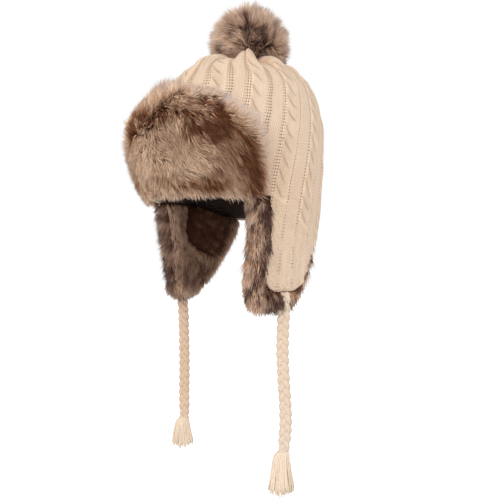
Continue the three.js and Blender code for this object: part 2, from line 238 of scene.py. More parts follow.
def joined(parts: list[MeshParts]) -> MeshParts:
    """Join parts into one mesh, each in its own band of the map.

    Args:
        parts: Parts to join. A value that some of them lack is 0 there.

    Returns:
        The joined parts.
    """
    names = sorted({name for part in parts for name in part.values})
    faces = np.array([len(part.quads) + len(part.tris) for part in parts], dtype=float)
    edges = np.concatenate([[0.0], np.cumsum(faces) / faces.sum()])
    start = 0
    quads, tris, banded = [], [], []
    for index, part in enumerate(parts):
        quads.append(part.quads + start)
        tris.append(part.tris + start)
        banded.append(part.held_in(edges[index] + MAP_MARGIN, edges[index + 1] - MAP_MARGIN))
        start += len(part.points)
    return MeshParts(
        np.concatenate([part.points for part in parts]),
        np.concatenate(quads),
        np.concatenate(tris),
        np.concatenate([part.quad_places for part in banded]),
        np.concatenate([part.tri_places for part in banded]),
        {
            name: np.concatenate([
                part.values.get(name, np.zeros(len(part.points))) for part in parts
            ])
            for name in names
        },
    )


def grid_quads(index: Array, wrap: bool) -> tuple[Array, Array]:
    """Quads and map places over a grid of point numbers.

    Args:
        index: Point numbers, rows by columns.
        wrap: Whether the last column joins the first.

    Returns:
        The quads and the map place of each corner.
    """
    rows, columns = index.shape
    across = columns if wrap else columns - 1
    row, column = np.meshgrid(np.arange(rows - 1), np.arange(across), indexing="ij")
    row, column = row.ravel(), column.ravel()
    following = (column + 1) % columns
    quads = np.stack([
        index[row, column], index[row, following], index[row + 1, following], index[row + 1, column],
    ], axis=1)
    u = np.stack([column, column + 1, column + 1, column], axis=1) / across
    v = np.stack([row, row, row + 1, row + 1], axis=1) / (rows - 1)
    return quads, np.stack([u, v], axis=2)


def shell(grid: Array, values: dict[str, Array]) -> MeshParts:
    """Closed shell of revolution from rings of points.

    Args:
        grid: Rings of points. The first and last ring are closed by their middle point.
        values: Named values, one for each point of the grid.

    Returns:
        The closed parts, facing out where rings rise and points run from front to left.
    """
    rows, columns, _ = grid.shape
    index = np.arange(rows * columns).reshape(rows, columns)
    quads, places = grid_quads(index, wrap=True)
    poles = [grid[0].mean(axis=0), grid[-1].mean(axis=0)]
    count = rows * columns
    turn = np.arange(columns)
    following = (turn + 1) % columns
    low = np.stack([np.full(columns, count), index[0, following], index[0, turn]], axis=1)
    high = np.stack([index[-1, turn], index[-1, following], np.full(columns, count + 1)], axis=1)
    share = turn / columns
    step = 1.0 / columns
    low_places = np.stack([
        np.stack([share + step / 2, np.zeros(columns)], axis=1),
        np.stack([share + step, np.full(columns, POLE_MARGIN)], axis=1),
        np.stack([share, np.full(columns, POLE_MARGIN)], axis=1),
    ], axis=1)
    high_places = low_places[:, ::-1] * (1.0, -1.0) + (0.0, 1.0)
    places[..., 1] = lerp(POLE_MARGIN, 1.0 - POLE_MARGIN, places[..., 1])
    return MeshParts(
        np.concatenate([grid.reshape(-1, 3), np.array(poles)]),
        quads,
        np.concatenate([low, high]),
        places,
        np.concatenate([low_places, high_places]),
        {
            name: np.concatenate([value.ravel(), [value[0].mean(), value[-1].mean()]])
            for name, value in values.items()
        },
    )


def shares(columns: int, rows: int) -> list[Array]:
    """Return grids of the shares of the way across and up."""
    return np.meshgrid(np.linspace(0.0, 1.0, columns), np.linspace(0.0, 1.0, rows))


def pillow(outer: Array, inner: Array, values: dict[str, Array]) -> MeshParts:
    """Closed panel from two grids of points that share their rim.

    Args:
        outer: Points of the outside, rows from low to high and columns from front to back.
        inner: Points of the inside in the same order. Its rim isn't used.
        values: Named values, one for each point of a grid, used on both sides.

    Returns:
        The closed parts.
    """
    rows, columns, _ = outer.shape
    index = np.arange(rows * columns).reshape(rows, columns)
    inside = index.copy()
    within = np.arange((rows - 2) * (columns - 2)).reshape(rows - 2, columns - 2)
    inside[1:-1, 1:-1] = rows * columns + within
    front, front_places = grid_quads(index, wrap=False)
    back, back_places = grid_quads(inside[:, ::-1], wrap=False)
    front_places[..., 0] *= 0.5
    back_places[..., 0] = 0.5 + back_places[..., 0] * 0.5
    return MeshParts(
        np.concatenate([outer.reshape(-1, 3), inner[1:-1, 1:-1].reshape(-1, 3)]),
        np.concatenate([front, back]),
        np.zeros((0, 3), dtype=int),
        np.concatenate([front_places, back_places]),
        np.zeros((0, 3, 2)),
        {
            name: np.concatenate([value.ravel(), value[1:-1, 1:-1].ravel()])
            for name, value in values.items()
        },
    )


def tube(
    path: Array, sides: Array, depths: Array, across: Array, values: dict[str, Array], corners: int,
) -> MeshParts:
    """Closed tube along a path.

    Args:
        path: Points of the middle line.
        sides: Half widths along the across direction, one for each point.
        depths: Half widths square to it, one for each point.
        across: Direction across the tube, the same for the whole of it.
        values: Named values, one for each point of the path.
        corners: Corners of the section.

    Returns:
        The closed parts, with the turn round the tube as the value round.
    """
    along = unit(np.gradient(path, axis=0))
    first = unit(across - (along @ across)[:, None] * along)
    second = np.cross(along, first)
    turn = np.arange(corners) * 2.0 * math.pi / corners
    grid = (
        path[:, None]
        + first[:, None] * (np.cos(turn)[None, :] * sides[:, None])[..., None]
        + second[:, None] * (np.sin(turn)[None, :] * depths[:, None])[..., None]
    )
    spread = {name: np.repeat(value[:, None], corners, axis=1) for name, value in values.items()}
    spread["round"] = np.repeat(np.abs(turn / math.pi - 1.0)[None, :], len(path), axis=0)
    return shell(grid, spread)


def catmull_rom(points: Array, steps: int) -> Array:
    """Smooth line through points.

    Args:
        points: Points that the line passes.
        steps: Steps from each point to the next.

    Returns:
        Points of the line.
    """
    padded = np.concatenate([[2 * points[0] - points[1]], points, [2 * points[-1] - points[-2]]])
    pieces = []
    for k in range(1, len(padded) - 2):
        a, b, c, d = padded[k - 1:k + 3]
        t = np.linspace(0.0, 1.0, steps, endpoint=False)[:, None]
        pieces.append(0.5 * (
            2 * b + (c - a) * t + (2 * a - 5 * b + 4 * c - d) * t ** 2
            + (3 * b - a - 3 * c + d) * t ** 3
        ))
    pieces.append(points[-1:])
    return np.concatenate(pieces)


def arc_lengths(path: Array) -> Array:
    """Return the distance along a path at each of its points."""
    return np.concatenate([[0.0], np.cumsum(np.linalg.norm(np.diff(path, axis=0), axis=1))])


def placed(name: str, data: bpy.types.ID) -> Piece:
    """Add an object to the scene.

    Args:
        name: Its name.
        data: Its mesh, light or camera.

    Returns:
        The new object.
    """
    thing = bpy.data.objects.new(name, data)
    bpy.context.scene.collection.objects.link(thing)
    return thing


def make_piece(
    name: str, parts: MeshParts, finish: Material, slot: Slot, nodes: list[str],
    crease: float = ALL_SMOOTH,
) -> Piece:
    """Make a piece that rides with the hat.

    Args:
        name: The piece's name.
        parts: Its mesh in millimetres.
        finish: Its material.
        slot: The record's slot for its finish. Not used.
        nodes: Solids that it stands for.
        crease: Edges that bend more than this many degrees stay sharp.

    Returns:
        The new object.
    """
    mesh = bpy.data.meshes.new(name)
    mesh.vertices.add(len(parts.points))
    mesh.vertices.foreach_set("co", (parts.points * MM).astype(np.float32).ravel())
    corners = np.concatenate([parts.quads.ravel(), parts.tris.ravel()]).astype(np.int32)
    quads, tris = len(parts.quads), len(parts.tris)
    starts = np.concatenate([np.arange(quads) * 4, quads * 4 + np.arange(tris) * 3]).astype(np.int32)
    mesh.loops.add(len(corners))
    mesh.loops.foreach_set("vertex_index", corners)
    mesh.polygons.add(quads + tris)
    mesh.polygons.foreach_set("loop_start", starts)
    mesh.update(calc_edges=True)
    places = np.concatenate([parts.quad_places.reshape(-1, 2), parts.tri_places.reshape(-1, 2)])
    layer = mesh.uv_layers.new(name="OFBake")
    layer.uv.foreach_set("vector", places.astype(np.float32).ravel())
    for key, value in parts.values.items():
        attribute = mesh.attributes.new(key, "FLOAT", "POINT")
        attribute.data.foreach_set("value", np.asarray(value, dtype=np.float32))
    mesh.validate()
    mesh.shade_smooth()
    if crease < ALL_SMOOTH:
        mesh.set_sharp_from_angle(angle=math.radians(crease))
    mesh.materials.append(finish)
    piece = placed(name, mesh)
    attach(piece, BODY)
    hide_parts(*nodes)
    LOG.info("%s: %d triangles", name, 2 * quads + tris)
    return piece


class NodeSheet:
    """Short calls that add nodes to one node tree and join them."""

    def __init__(self, tree: NodeTree) -> None:
        """Keep the tree that the nodes go into."""
        self.tree = tree

    def node(self, kind: str, inputs: Inputs | None = None, **settings: object) -> Node:
        """Add a node.

        Args:
            kind: Its type.
            inputs: Its inputs, by name or number.
            settings: Its own settings, by name.

        Returns:
            The node.
        """
        node = self.tree.nodes.new(kind)
        for name, value in settings.items():
            setattr(node, name, value)
        self.put_all(node, inputs or {})
        return node

    def put(self, socket: Socket, value: object) -> None:
        """Join a socket to another one, or give it a plain value."""
        if isinstance(value, Socket):
            self.tree.links.new(value, socket)
        else:
            socket.default_value = value

    def put_all(self, node: Node, inputs: Inputs) -> None:
        """Give several of a node's inputs, by name or number."""
        for name, value in inputs.items():
            self.put(node.inputs[name], value)

    def math(self, operation: str, first: object, second: object = 0.0) -> Socket:
        """Return the result of one sum on two values or sockets."""
        return self.node("ShaderNodeMath", {0: first, 1: second}, operation=operation).outputs[0]

    def blend(self, share: object, low: object, high: object, mode: str = "MIX") -> Socket:
        """Return two colours mixed by the share of the second."""
        inputs = {0: share, 6: low, 7: high}
        return self.node("ShaderNodeMix", inputs, data_type="RGBA", blend_type=mode).outputs[2]

    def ease(
        self, value: object, start: float, end: float, low: float = 0.0, high: float = 1.0,
    ) -> Socket:
        """Return what goes from low to high while the value goes from start to end."""
        inputs = dict(enumerate((value, start, end, low, high)))
        return self.node("ShaderNodeMapRange", inputs, interpolation_type="SMOOTHSTEP").outputs[0]

    def attribute(self, name: str) -> Socket:
        """Return a value that the mesh carries."""
        return self.node("ShaderNodeAttribute", attribute_name=name).outputs["Fac"]

    def grey(self, value: Socket) -> Socket:
        """Return a grey of this brightness."""
        return self.node("ShaderNodeCombineColor", dict.fromkeys(range(3), value)).outputs[0]

    def noise(self, scale: float, detail: float) -> Socket:
        """Add noise in the object's own space.

        Args:
            scale: Waves for each metre.
            detail: Finer layers.

        Returns:
            The noise's socket.
        """
        places = self.node("ShaderNodeTexCoord").outputs["Object"]
        inputs = {"Scale": scale, "Detail": detail, "Vector": places}
        return self.node("ShaderNodeTexNoise", inputs).outputs["Fac"]

    def bump(
        self, height: object, distance: float, strength: float, normal: object = None,
    ) -> Socket:
        """Bend a normal.

        Args:
            height: Socket of the height.
            distance: Metres that a height of 1 stands for.
            strength: Strength of the bend.
            normal: Normal to bend, if not the mesh's.

        Returns:
            The bent normal's socket.
        """
        inputs = {"Strength": strength, "Distance": distance, "Height": height}
        if normal is not None:
            inputs["Normal"] = normal
        return self.node("ShaderNodeBump", inputs).outputs[0]

    def group(self, tree: NodeTree, **inputs: object) -> Node:
        """Return a node for a node group, with its inputs."""
        return self.node("ShaderNodeGroup", inputs, node_tree=tree)


class GroupSheet(NodeSheet):
    """Node group under construction, with named inputs and outputs."""

    def __init__(self, name: str, inputs: dict[str, object], outputs: dict[str, str]) -> None:
        """Start the group.

        Args:
            name: The group's name.
            inputs: Name of each input and its plain value, a number or a colour.
            outputs: Name of each output and its kind of socket.
        """
        super().__init__(bpy.data.node_groups.new(name, "ShaderNodeTree"))
        for key, value in inputs.items():
            kind = "NodeSocketColor" if isinstance(value, tuple) else "NodeSocketFloat"
            socket = self.tree.interface.new_socket(key, in_out="INPUT", socket_type=kind)
            socket.default_value = value
        for key, kind in outputs.items():
            self.tree.interface.new_socket(key, in_out="OUTPUT", socket_type=kind)
        self.entry = self.node("NodeGroupInput")
        self.exit = self.node("NodeGroupOutput")

    def read(self, name: str) -> Socket:
        """Return one of the group's inputs."""
        return self.entry.outputs[name]

    def send(self, name: str, value: Socket) -> None:
        """Give one of the group's outputs."""
        self.put(self.exit.inputs[name], value)


FLOAT = "NodeSocketFloat"
COLOUR = "NodeSocketColor"


class Effects:
    """Node groups that the finishes use, each built once."""

    STITCH_SLANT = 0.55
    STITCH_LIFT = (0.45, 0.55)
    HOLE_SPACING = 2.7
    HOLE_NARROW = 2.6
    HOLE_FLAT = 3.5
    BROAD_WAVES = 14.0
    FINE_WAVES = 900.0
    PLAIN_GREY = (0.2, 0.2, 0.2, 1.0)

    def __init__(self) -> None:
        """Build every group."""
        self.stitches = self.make_stitches()
        self.purl_dots = self.make_purl_dots()
        self.wool_fuzz = self.make_wool_fuzz()
        self.yarn_ply = self.make_yarn_ply()
        self.fur_shade = self.make_fur_shade()

    @staticmethod
    def make_stitches() -> NodeTree:
        """Build the relief of plain knit, one V of yarn for each wale and row.

        Returns:
            The group, with the height from 0 to 1.
        """
        sheet = GroupSheet("stitches", {"Wale": 0.0, "Row": 0.0}, {"Height": FLOAT})
        within = sheet.math("FRACT", sheet.read("Wale"))
        centred = sheet.math("SUBTRACT", within, 0.5)
        side = sheet.math("MULTIPLY", sheet.math("ABSOLUTE", centred), 2.0)
        leg = sheet.math("SUBTRACT", sheet.math("MULTIPLY", side, 2.0), 1.0)
        across = sheet.math("SUBTRACT", 1.0, sheet.math("MULTIPLY", leg, leg))
        slant = sheet.math(
            "ADD", sheet.read("Row"), sheet.math("MULTIPLY", side, Effects.STITCH_SLANT),
        )
        along = sheet.math("SINE", sheet.math("MULTIPLY", sheet.math("FRACT", slant), math.pi))
        least, more = Effects.STITCH_LIFT
        lift = sheet.math("ADD", least, sheet.math("MULTIPLY", along, more))
        sheet.send("Height", sheet.math("MULTIPLY", across, lift))
        return sheet.tree

    @staticmethod
    def make_purl_dots() -> NodeTree:
        """Build the holes between the bars of the purl grooves, which the knit finish paints dark as
        shade.

        Returns:
            The group, with the holes as a mask.
        """
        sheet = GroupSheet("purl_dots", {"Lane": 0.0, "Rung": 0.0, "Gutter": 0.0}, {"Mask": FLOAT})
        lane = sheet.math("DIVIDE", sheet.read("Lane"), Effects.HOLE_SPACING)
        column = sheet.math("SUBTRACT", sheet.math("FRACT", sheet.math("ADD", lane, 0.5)), 0.5)
        row = sheet.math("SUBTRACT", sheet.math("FRACT", sheet.read("Rung")), 0.5)
        wide = sheet.math("MULTIPLY", sheet.math("ABSOLUTE", column), Effects.HOLE_NARROW)
        high = sheet.math("MULTIPLY", sheet.math("ABSOLUTE", row), Effects.HOLE_FLAT)
        squares = [sheet.math("POWER", way, 2.0) for way in (wide, high)]
        reach = sheet.math("SQRT", sheet.math("ADD", *squares))
        dot = sheet.ease(reach, 0.5, 1.05, 1.0, 0.0)
        sheet.send("Mask", sheet.math("MULTIPLY", dot, sheet.read("Gutter")))
        return sheet.tree

    @staticmethod
    def make_wool_fuzz() -> NodeTree:
        """Build the uneven colour and fine fuzz of spun wool.

        Returns:
            The group, with a mottled colour and a fine height.
        """
        sheet = GroupSheet(
            "wool_fuzz",
            {"Base": (0.8, 0.7, 0.5, 1.0), "Warmer": (0.8, 0.6, 0.4, 1.0)},
            {"Color": COLOUR, "Height": FLOAT},
        )
        broad = sheet.ease(sheet.noise(Effects.BROAD_WAVES, 2.0), 0.35, 0.7)
        fine = sheet.noise(Effects.FINE_WAVES, 3.0)
        share = sheet.math("MULTIPLY", broad, 0.55)
        tinted = sheet.blend(share, sheet.read("Base"), sheet.read("Warmer"))
        speck = sheet.grey(sheet.ease(fine, 0.32, 0.7, 0.88, 1.06))
        sheet.send("Color", sheet.blend(1.0, tinted, speck, "MULTIPLY"))
        sheet.send("Height", fine)
        return sheet.tree

    @staticmethod
    def make_yarn_ply() -> NodeTree:
        """Build the twisted plies that run round a strand of yarn.

        Returns:
            The group, with the height of the plies from 0 to 1.
        """
        inputs = {"Along": 0.0, "Round": 0.0, "Plies": 6.0}
        sheet = GroupSheet("yarn_ply", inputs, {"Height": FLOAT})
        turn = sheet.math("MULTIPLY", sheet.read("Round"), sheet.read("Plies"))
        wave = sheet.math("FRACT", sheet.math("ADD", turn, sheet.read("Along")))
        peak = sheet.math("SINE", sheet.math("MULTIPLY", wave, math.pi))
        sheet.send("Height", peak)
        return sheet.tree

    @staticmethod
    def make_fur_shade() -> NodeTree:
        """Build the colour of a hair from its root to its tip.

        Returns:
            The group, with the hair's colour.
        """
        values = {"Along": 0.0, "Tone": 0.0, "Frost": 0.0, "Chance": 0.5}
        colours = dict.fromkeys(("Root", "Light", "Dark", "Tip"), Effects.PLAIN_GREY)
        sheet = GroupSheet("fur_shade", values | colours, {"Color": COLOUR})
        mixed = sheet.blend(sheet.read("Tone"), sheet.read("Light"), sheet.read("Dark"))
        deep = sheet.ease(sheet.read("Tone"), 0.75, 1.0, 0.0, 0.7)
        middle = sheet.blend(deep, mixed, sheet.read("Root"))
        lift = sheet.math("ADD", 0.7, sheet.math("MULTIPLY", sheet.read("Chance"), 0.6))
        varied = sheet.blend(1.0, middle, sheet.grey(lift), "MULTIPLY")
        # Hairs darken towards the root: partly the fur's own colour, partly painted shade deep in the
        # coat.
        rise = sheet.ease(sheet.read("Along"), 0.0, 0.6)
        stem = sheet.blend(rise, sheet.read("Root"), varied)
        pale = sheet.math("MULTIPLY", sheet.ease(sheet.read("Along"), 0.45, 1.0), sheet.read("Frost"))
        sheet.send("Color", sheet.blend(pale, stem, sheet.read("Tip")))
        return sheet.tree


@dataclass(frozen=True)
class Finish:
    """Values of a cloth that are the same all over it."""

    name: str
    roughness: float = 0.9
    sheen: float = 0.2
    sheen_roughness: float = 0.5
    specular: float = 0.25

    def start(self) -> tuple[Material, NodeSheet, Node]:
        """Start the material.

        Returns:
            The material, its node sheet and its shader.
        """
        material = bpy.data.materials.new(self.name)
        material.use_nodes = True
        sheet = NodeSheet(material.node_tree)
        shader = material.node_tree.nodes["Principled BSDF"]
        sheet.put_all(shader, {
            "Roughness": self.roughness, "Sheen Weight": self.sheen,
            "Sheen Roughness": self.sheen_roughness, "Specular IOR Level": self.specular,
        })
        return material, sheet, shader


@dataclass(frozen=True)
class KnitFinish(Finish):
    """Matte cream wool, knit in cables and ribs."""

    base: Colour = linear(237, 211, 184)
    warmer: Colour = linear(233, 201, 170)
    # Painted shade colours: one for hollows, one for the purl holes.
    hollow: Colour = linear(158, 112, 76)
    hole_shade: Colour = linear(102, 62, 37)
    level: float = 0.36
    hole_depth: float = 1.6

    def build(self, effects: Effects) -> Material:
        """Make the material with stitches and purl holes, and painted shade between stitches, in the
        holes and in hollows.

        Args:
            effects: Node groups that finishes share.

        Returns:
            The material.
        """
        material, sheet, shader = self.start()
        relief = sheet.group(
            effects.stitches, Wale=sheet.attribute("wale"), Row=sheet.attribute("row"),
        ).outputs["Height"]
        proud = sheet.math("SUBTRACT", relief, self.level)
        proud = sheet.math("MULTIPLY", proud, sheet.attribute("calm"))
        stitches = sheet.math("ADD", proud, self.level)
        dots = sheet.group(
            effects.purl_dots, Lane=sheet.attribute("lane"), Rung=sheet.attribute("rung"),
            Gutter=sheet.attribute("gutter"),
        ).outputs["Mask"]
        fuzz = sheet.group(effects.wool_fuzz, Base=self.base, Warmer=self.warmer)
        # Painted shade between the stitches, in the cable creases and grooves, and in the purl holes.
        between = sheet.ease(stitches, 0.0, 0.6, 0.38, 0.0)
        shaded = sheet.blend(between, fuzz.outputs["Color"], self.hollow)
        hollow_shaded = sheet.blend(sheet.attribute("hollow"), shaded, self.hollow)
        sheet.put(shader.inputs["Base Color"], sheet.blend(dots, hollow_shaded, self.hole_shade))
        fine = sheet.bump(fuzz.outputs["Height"], 0.0002, 0.5)
        height = sheet.math("SUBTRACT", stitches, sheet.math("MULTIPLY", dots, self.hole_depth))
        sheet.put(shader.inputs["Normal"], sheet.bump(height, 0.001, 0.9, fine))
        return material


@dataclass(frozen=True)
class YarnFinish(Finish):
    """Matte cream yarn of the braids and tassels."""

    base: Colour = linear(218, 199, 181)
    warmer: Colour = linear(214, 190, 164)
    # Painted shade colour for hollows between plies and strands.
    hollow: Colour = linear(196, 158, 126)
    plies: float = 4.0

    def build(self, effects: Effects) -> Material:
        """Make the material with twisted plies and painted shade between plies and in hollows.

        Args:
            effects: Node groups that finishes share.

        Returns:
            The material.
        """
        material, sheet, shader = self.start()
        plies = sheet.group(
            effects.yarn_ply, Along=sheet.attribute("twist"), Round=sheet.attribute("round"),
            Plies=self.plies,
        ).outputs["Height"]
        fuzz = sheet.group(effects.wool_fuzz, Base=self.base, Warmer=self.warmer)
        # Painted shade between the plies, under crossing strands, on the far braid and inside the
        # tassel.
        between = sheet.ease(plies, 0.0, 0.6, 0.16, 0.0)
        shaded = sheet.blend(between, fuzz.outputs["Color"], self.hollow)
        warm = sheet.blend(sheet.math("MULTIPLY", sheet.attribute("tone"), 0.8), shaded, self.warmer)
        hollow_shaded = sheet.blend(sheet.attribute("hollow"), warm, self.hollow)
        sheet.put(shader.inputs["Base Color"], hollow_shaded)
        fine = sheet.bump(fuzz.outputs["Height"], 0.0002, 0.4)
        sheet.put(shader.inputs["Normal"], sheet.bump(plies, 0.0005, 0.7, fine))
        return material


@dataclass(frozen=True)
class FurFinish(Finish):
    """Fur in hairs that are dark at the root and paler to the tip."""

    root: Colour = linear(78, 48, 37)
    light: Colour = linear(238, 202, 168)
    dark: Colour = linear(126, 78, 47)
    tip: Colour = linear(242, 222, 208)

    def build(self, effects: Effects) -> Material:
        """Make the material with its hairs shaded from root to tip.

        Args:
            effects: Node groups that finishes share.

        Returns:
            The material.
        """
        material, sheet, shader = self.start()
        hair = sheet.group(
            effects.fur_shade, Along=sheet.attribute("along"), Tone=sheet.attribute("tone"),
            Frost=sheet.attribute("frost"), Chance=sheet.attribute("chance"),
            Root=self.root, Light=self.light, Dark=self.dark, Tip=self.tip,
        ).outputs["Color"]
        sheet.put(shader.inputs["Base Color"], hair)
        return material


@dataclass(frozen=True)
class Slump:
    """Place where the slack cloth of the crown sinks."""

    angle: float
    spread: float
    sink: float


@dataclass(frozen=True)
class HatForm:
    """Outer surface of the knit, which every other piece is placed against."""

    half_width: float = 93.0
    half_depth: float = 113.0
    nape_drop: float = 16.0
    nape_angles: Span = (75.0, 135.0)
    hem_fade: float = 60.0
    lean: float = 11.0
    lean_heights: Span = (70.0, 168.0)
    slumps: tuple[Slump, ...] = (Slump(-20.0, 19.0, 6.8), Slump(130.0, 32.0, 2.5))
    slump_starts: Span = (96.0, 134.0)
    slump_ends: Span = (160.0, 170.3)
    scale: Table = Table(
        (-130, -60, -30, 10, 50, 85, 110, 130, 145, 156, 164, 168, 170, 170.5),
        (0.945, 0.955, 0.968, 1.0, 1.03, 1.031, 0.984, 0.932, 0.841, 0.73, 0.55, 0.37, 0.2, 0.0),
    )

    def slope(self, z: Array) -> tuple[Array, Array]:
        """Work out which way the surface looks.

        Args:
            z: Nominal heights.

        Returns:
            How much it looks out and how much up.
        """
        top = self.scale.heights[-1]
        below = np.maximum(z - 2.0, self.scale.heights[0])
        above = np.minimum(z + 2.0, top)
        girth = self.half_width + self.half_depth
        run = (self.scale.at(above) - self.scale.at(below)) * girth / 2.0
        rise = above - below
        length = np.hypot(run, rise)
        return np.where(z >= top, 0.0, rise / length), np.where(z >= top, 1.0, -run / length)

    def slump(self, angle: Array, z: Array) -> Array:
        """Return how far the slack shoulders of the crown sink at points of the hat."""
        sink = sum(
            place.sink * bell(signed_angle(angle), place.angle, place.spread)
            for place in self.slumps
        )
        return sink * smoothstep(*self.slump_starts, z) * (1.0 - smoothstep(*self.slump_ends, z))

    def leaning(self, z: Array) -> Array:
        """Return how far back the crown leans at each height."""
        return self.lean * smoothstep(*self.lean_heights, z)

    def point(self, angle: Array, z: Array, off: Array | float) -> Array:
        """Place points on the hat.

        Args:
            angle: Angles from the front.
            z: Nominal heights.
            off: Distances off the knit's surface.

        Returns:
            The points, in the last axis.
        """
        angle, z, off = np.broadcast_arrays(np.asarray(angle, dtype=float), z, off)
        turn = np.radians(angle)
        scale = self.scale.at(z)
        out, up = self.slope(z)
        off = off - self.slump(angle, z)
        reach_x = np.maximum(self.half_width * scale + off * out, 0.0)
        reach_y = np.maximum(self.half_depth * scale + off * out, 0.0)
        around = np.abs(signed_angle(angle))
        drop = self.nape_drop * smoothstep(*self.nape_angles, around)
        height = z - drop * np.maximum(0.0, 1.0 - np.abs(z) / self.hem_fade)
        return np.stack([
            reach_x * np.sin(turn), self.leaning(z) - reach_y * np.cos(turn), height + off * up,
        ], axis=-1)

    def axes(self, angle: Array, z: Array) -> tuple[Array, Array, Array]:
        """Work out the directions at points of the hat.

        Args:
            angle: Angles from the front.
            z: Nominal heights.

        Returns:
            The directions to the back, up and out.
        """
        back = unit(self.point(angle + 0.5, z, 0.0) - self.point(angle - 0.5, z, 0.0))
        up = unit(self.point(angle, z + 1.0, 0.0) - self.point(angle, z - 1.0, 0.0))
        return back, up, unit(np.cross(back, up))

    def where(self, points: Array) -> tuple[Array, Array]:
        """Return the angles and heights where points stand off the hat."""
        ahead = (self.leaning(points[..., 2]) - points[..., 1]) / self.half_depth
        return np.degrees(np.arctan2(points[..., 0] / self.half_width, ahead)), points[..., 2]


FORM = HatForm()


@dataclass(frozen=True)
class Pleat:
    """Fold that the gathering pulls up under the pompom."""

    angle: float
    half_width: float
    rise: float


@dataclass(frozen=True)
class KnitPattern:
    """Repeats of cable, groove, rib and groove that run up the knit."""

    RUN_TOP = 170.4
    RUN_STEPS = 400
    TURN_STEPS = 12
    EVEN_STEPS = 8

    repeats: int = 14
    wales: int = 12
    row: float = 3.1
    rung: float = 3.5
    repeat_width: float = 46.0
    first_cable: float = 0.22
    evening: float = 0.0485
    left_groove: float = -0.27
    right_groove: float = 0.275
    open_grooves: Span = (3.0, 3.8)
    shut_grooves: Span = (1.3, 0.8)
    open_starts: Span = (-12.0, 0.0)
    open_ends: Span = (66.0, 84.0)
    open_tops: Span = (132.0, 150.0)
    ear_starts: Span = (62.0, 66.0)
    ear_ends: Span = (128.0, 136.0)
    cable_half: float = 8.5
    crossing: float = 17.0
    slant: float = 0.6
    bow: float = 0.25
    offset: float = 0.37
    proud: float = 1.1
    rib_share: float = 0.78
    notch: float = -4.5
    turn: Table = Table((-110, -20, 20, 60, 100, 128, 150), (-16, -10, -7, -3, 0, 0, -5))
    groove: Table = Table(
        (0, 50, 80, 106, 128, 145, 156, 164, 168, 170.5),
        (0.7, 0.75, 0.75, 0.75, 0.9, 1.4, 2.2, 2.6, 2.2, 0),
    )
    pleats: tuple[Pleat, ...] = (
        Pleat(14, 15, 3.5), Pleat(50, 11, 7.5), Pleat(79, 8, 3.5), Pleat(96, 9, 3),
        Pleat(-20, 12, 1.5), Pleat(-50, 12, 1.5), Pleat(-78, 11, 1.5), Pleat(-106, 11, 3),
        Pleat(-134, 12, 3), Pleat(-164, 11, 3), Pleat(119, 10, 2.5), Pleat(143, 10, 3),
        Pleat(169, 11, 3),
    )
    pleat_starts: Span = (142.0, 160.0)
    pleat_ends: Span = (166.0, 170.3)

    def angle(self, share: Array, z: Array) -> Array:
        """Return the angles of columns from their shares of the way round."""
        even = 2.0 * math.pi * share + self.evening * np.sin(4.0 * math.pi * share)
        return np.degrees(even + np.radians(self.turn.at(z)) * np.sin(even))

    def share(self, angle: Array, z: Array) -> Array:
        """Turn angles into shares of the way round.

        Args:
            angle: Angles from the front.
            z: Nominal heights.

        Returns:
            The shares, found step by step.
        """
        target = np.radians(angle)
        turn = np.radians(self.turn.at(z))
        even = target.copy()
        for _ in range(self.TURN_STEPS):
            even = target - turn * np.sin(even)
        share = even / (2.0 * math.pi)
        for _ in range(self.EVEN_STEPS):
            share = (even - self.evening * np.sin(4.0 * math.pi * share)) / (2.0 * math.pi)
        return share

    def plain(self, angle: Array, z: Array) -> Array:
        """Fade the columns into plain knit over the ears.

        Args:
            angle: Angles from the front.
            z: Nominal heights.

        Returns:
            How plain the knit is, from 0 to 1.
        """
        around = np.abs(signed_angle(angle))
        diagonal = 5.0 - 47.0 * (around - 70.0) / 45.0
        over_ear = window(self.ear_starts, self.ear_ends, around)
        return (1.0 - smoothstep(diagonal - 9.0, diagonal + 5.0, z)) * over_ear

    @staticmethod
    def run(z: Array) -> Array:
        """Return distances up the cloth from the front hem."""
        heights = np.linspace(0.0, KnitPattern.RUN_TOP, KnitPattern.RUN_STEPS)
        return np.where(
            z < 0.0, z, np.interp(z, heights, arc_lengths(FORM.point(90.0, heights, 0.0))),
        )

    def gathers(self, angle: Array, z: Array) -> Array:
        """Gather the knit under the pompom.

        Args:
            angle: Angles from the front.
            z: Nominal heights.

        Returns:
            How far the gathering lifts the knit.
        """
        lift = np.full(np.broadcast(angle, z).shape, self.notch)
        for pleat in self.pleats:
            away = signed_angle(angle - pleat.angle)
            crest = np.clip(1.0 - (away / pleat.half_width) ** 2, 0.0, 1.0) ** 1.3
            lift = np.maximum(lift, self.notch + (pleat.rise - self.notch) * crest)
        return lift * smoothstep(*self.pleat_starts, z) * (1.0 - smoothstep(*self.pleat_ends, z))

    @staticmethod
    def place(angle: Array, z: Array) -> Array:
        """Return where points lie round the knit, for its uneven fields."""
        turn = np.radians(angle)
        return np.stack([FORM.half_width * np.sin(turn), FORM.half_depth * np.cos(turn), z], axis=-1)

    def openness(self, angle: Array, z: Array) -> Array:
        """Return how far the grooves are stretched open, most on the left front."""
        across = window(self.open_starts, self.open_ends, signed_angle(angle))
        return across * (1.0 - smoothstep(*self.open_tops, z))

    def lanes(self, phase: Array, left: Array, right: Array) -> tuple[Array, Array]:
        """Find the groove nearest to each point.

        Args:
            phase: Shares of the way through a repeat.
            left: Half width of the left groove, as a share of a repeat.
            right: Half width of the right groove.

        Returns:
            The distance from the groove's middle, and its half width.
        """
        ways = np.stack([
            phase - self.left_groove, phase - 1.0 - self.left_groove, phase - self.right_groove,
        ])
        nearest = np.argmin(np.abs(ways), axis=0)
        lane = np.take_along_axis(ways, nearest[None], axis=0)[0] * self.repeat_width
        return lane, np.where(nearest == 2, right, left) * self.repeat_width

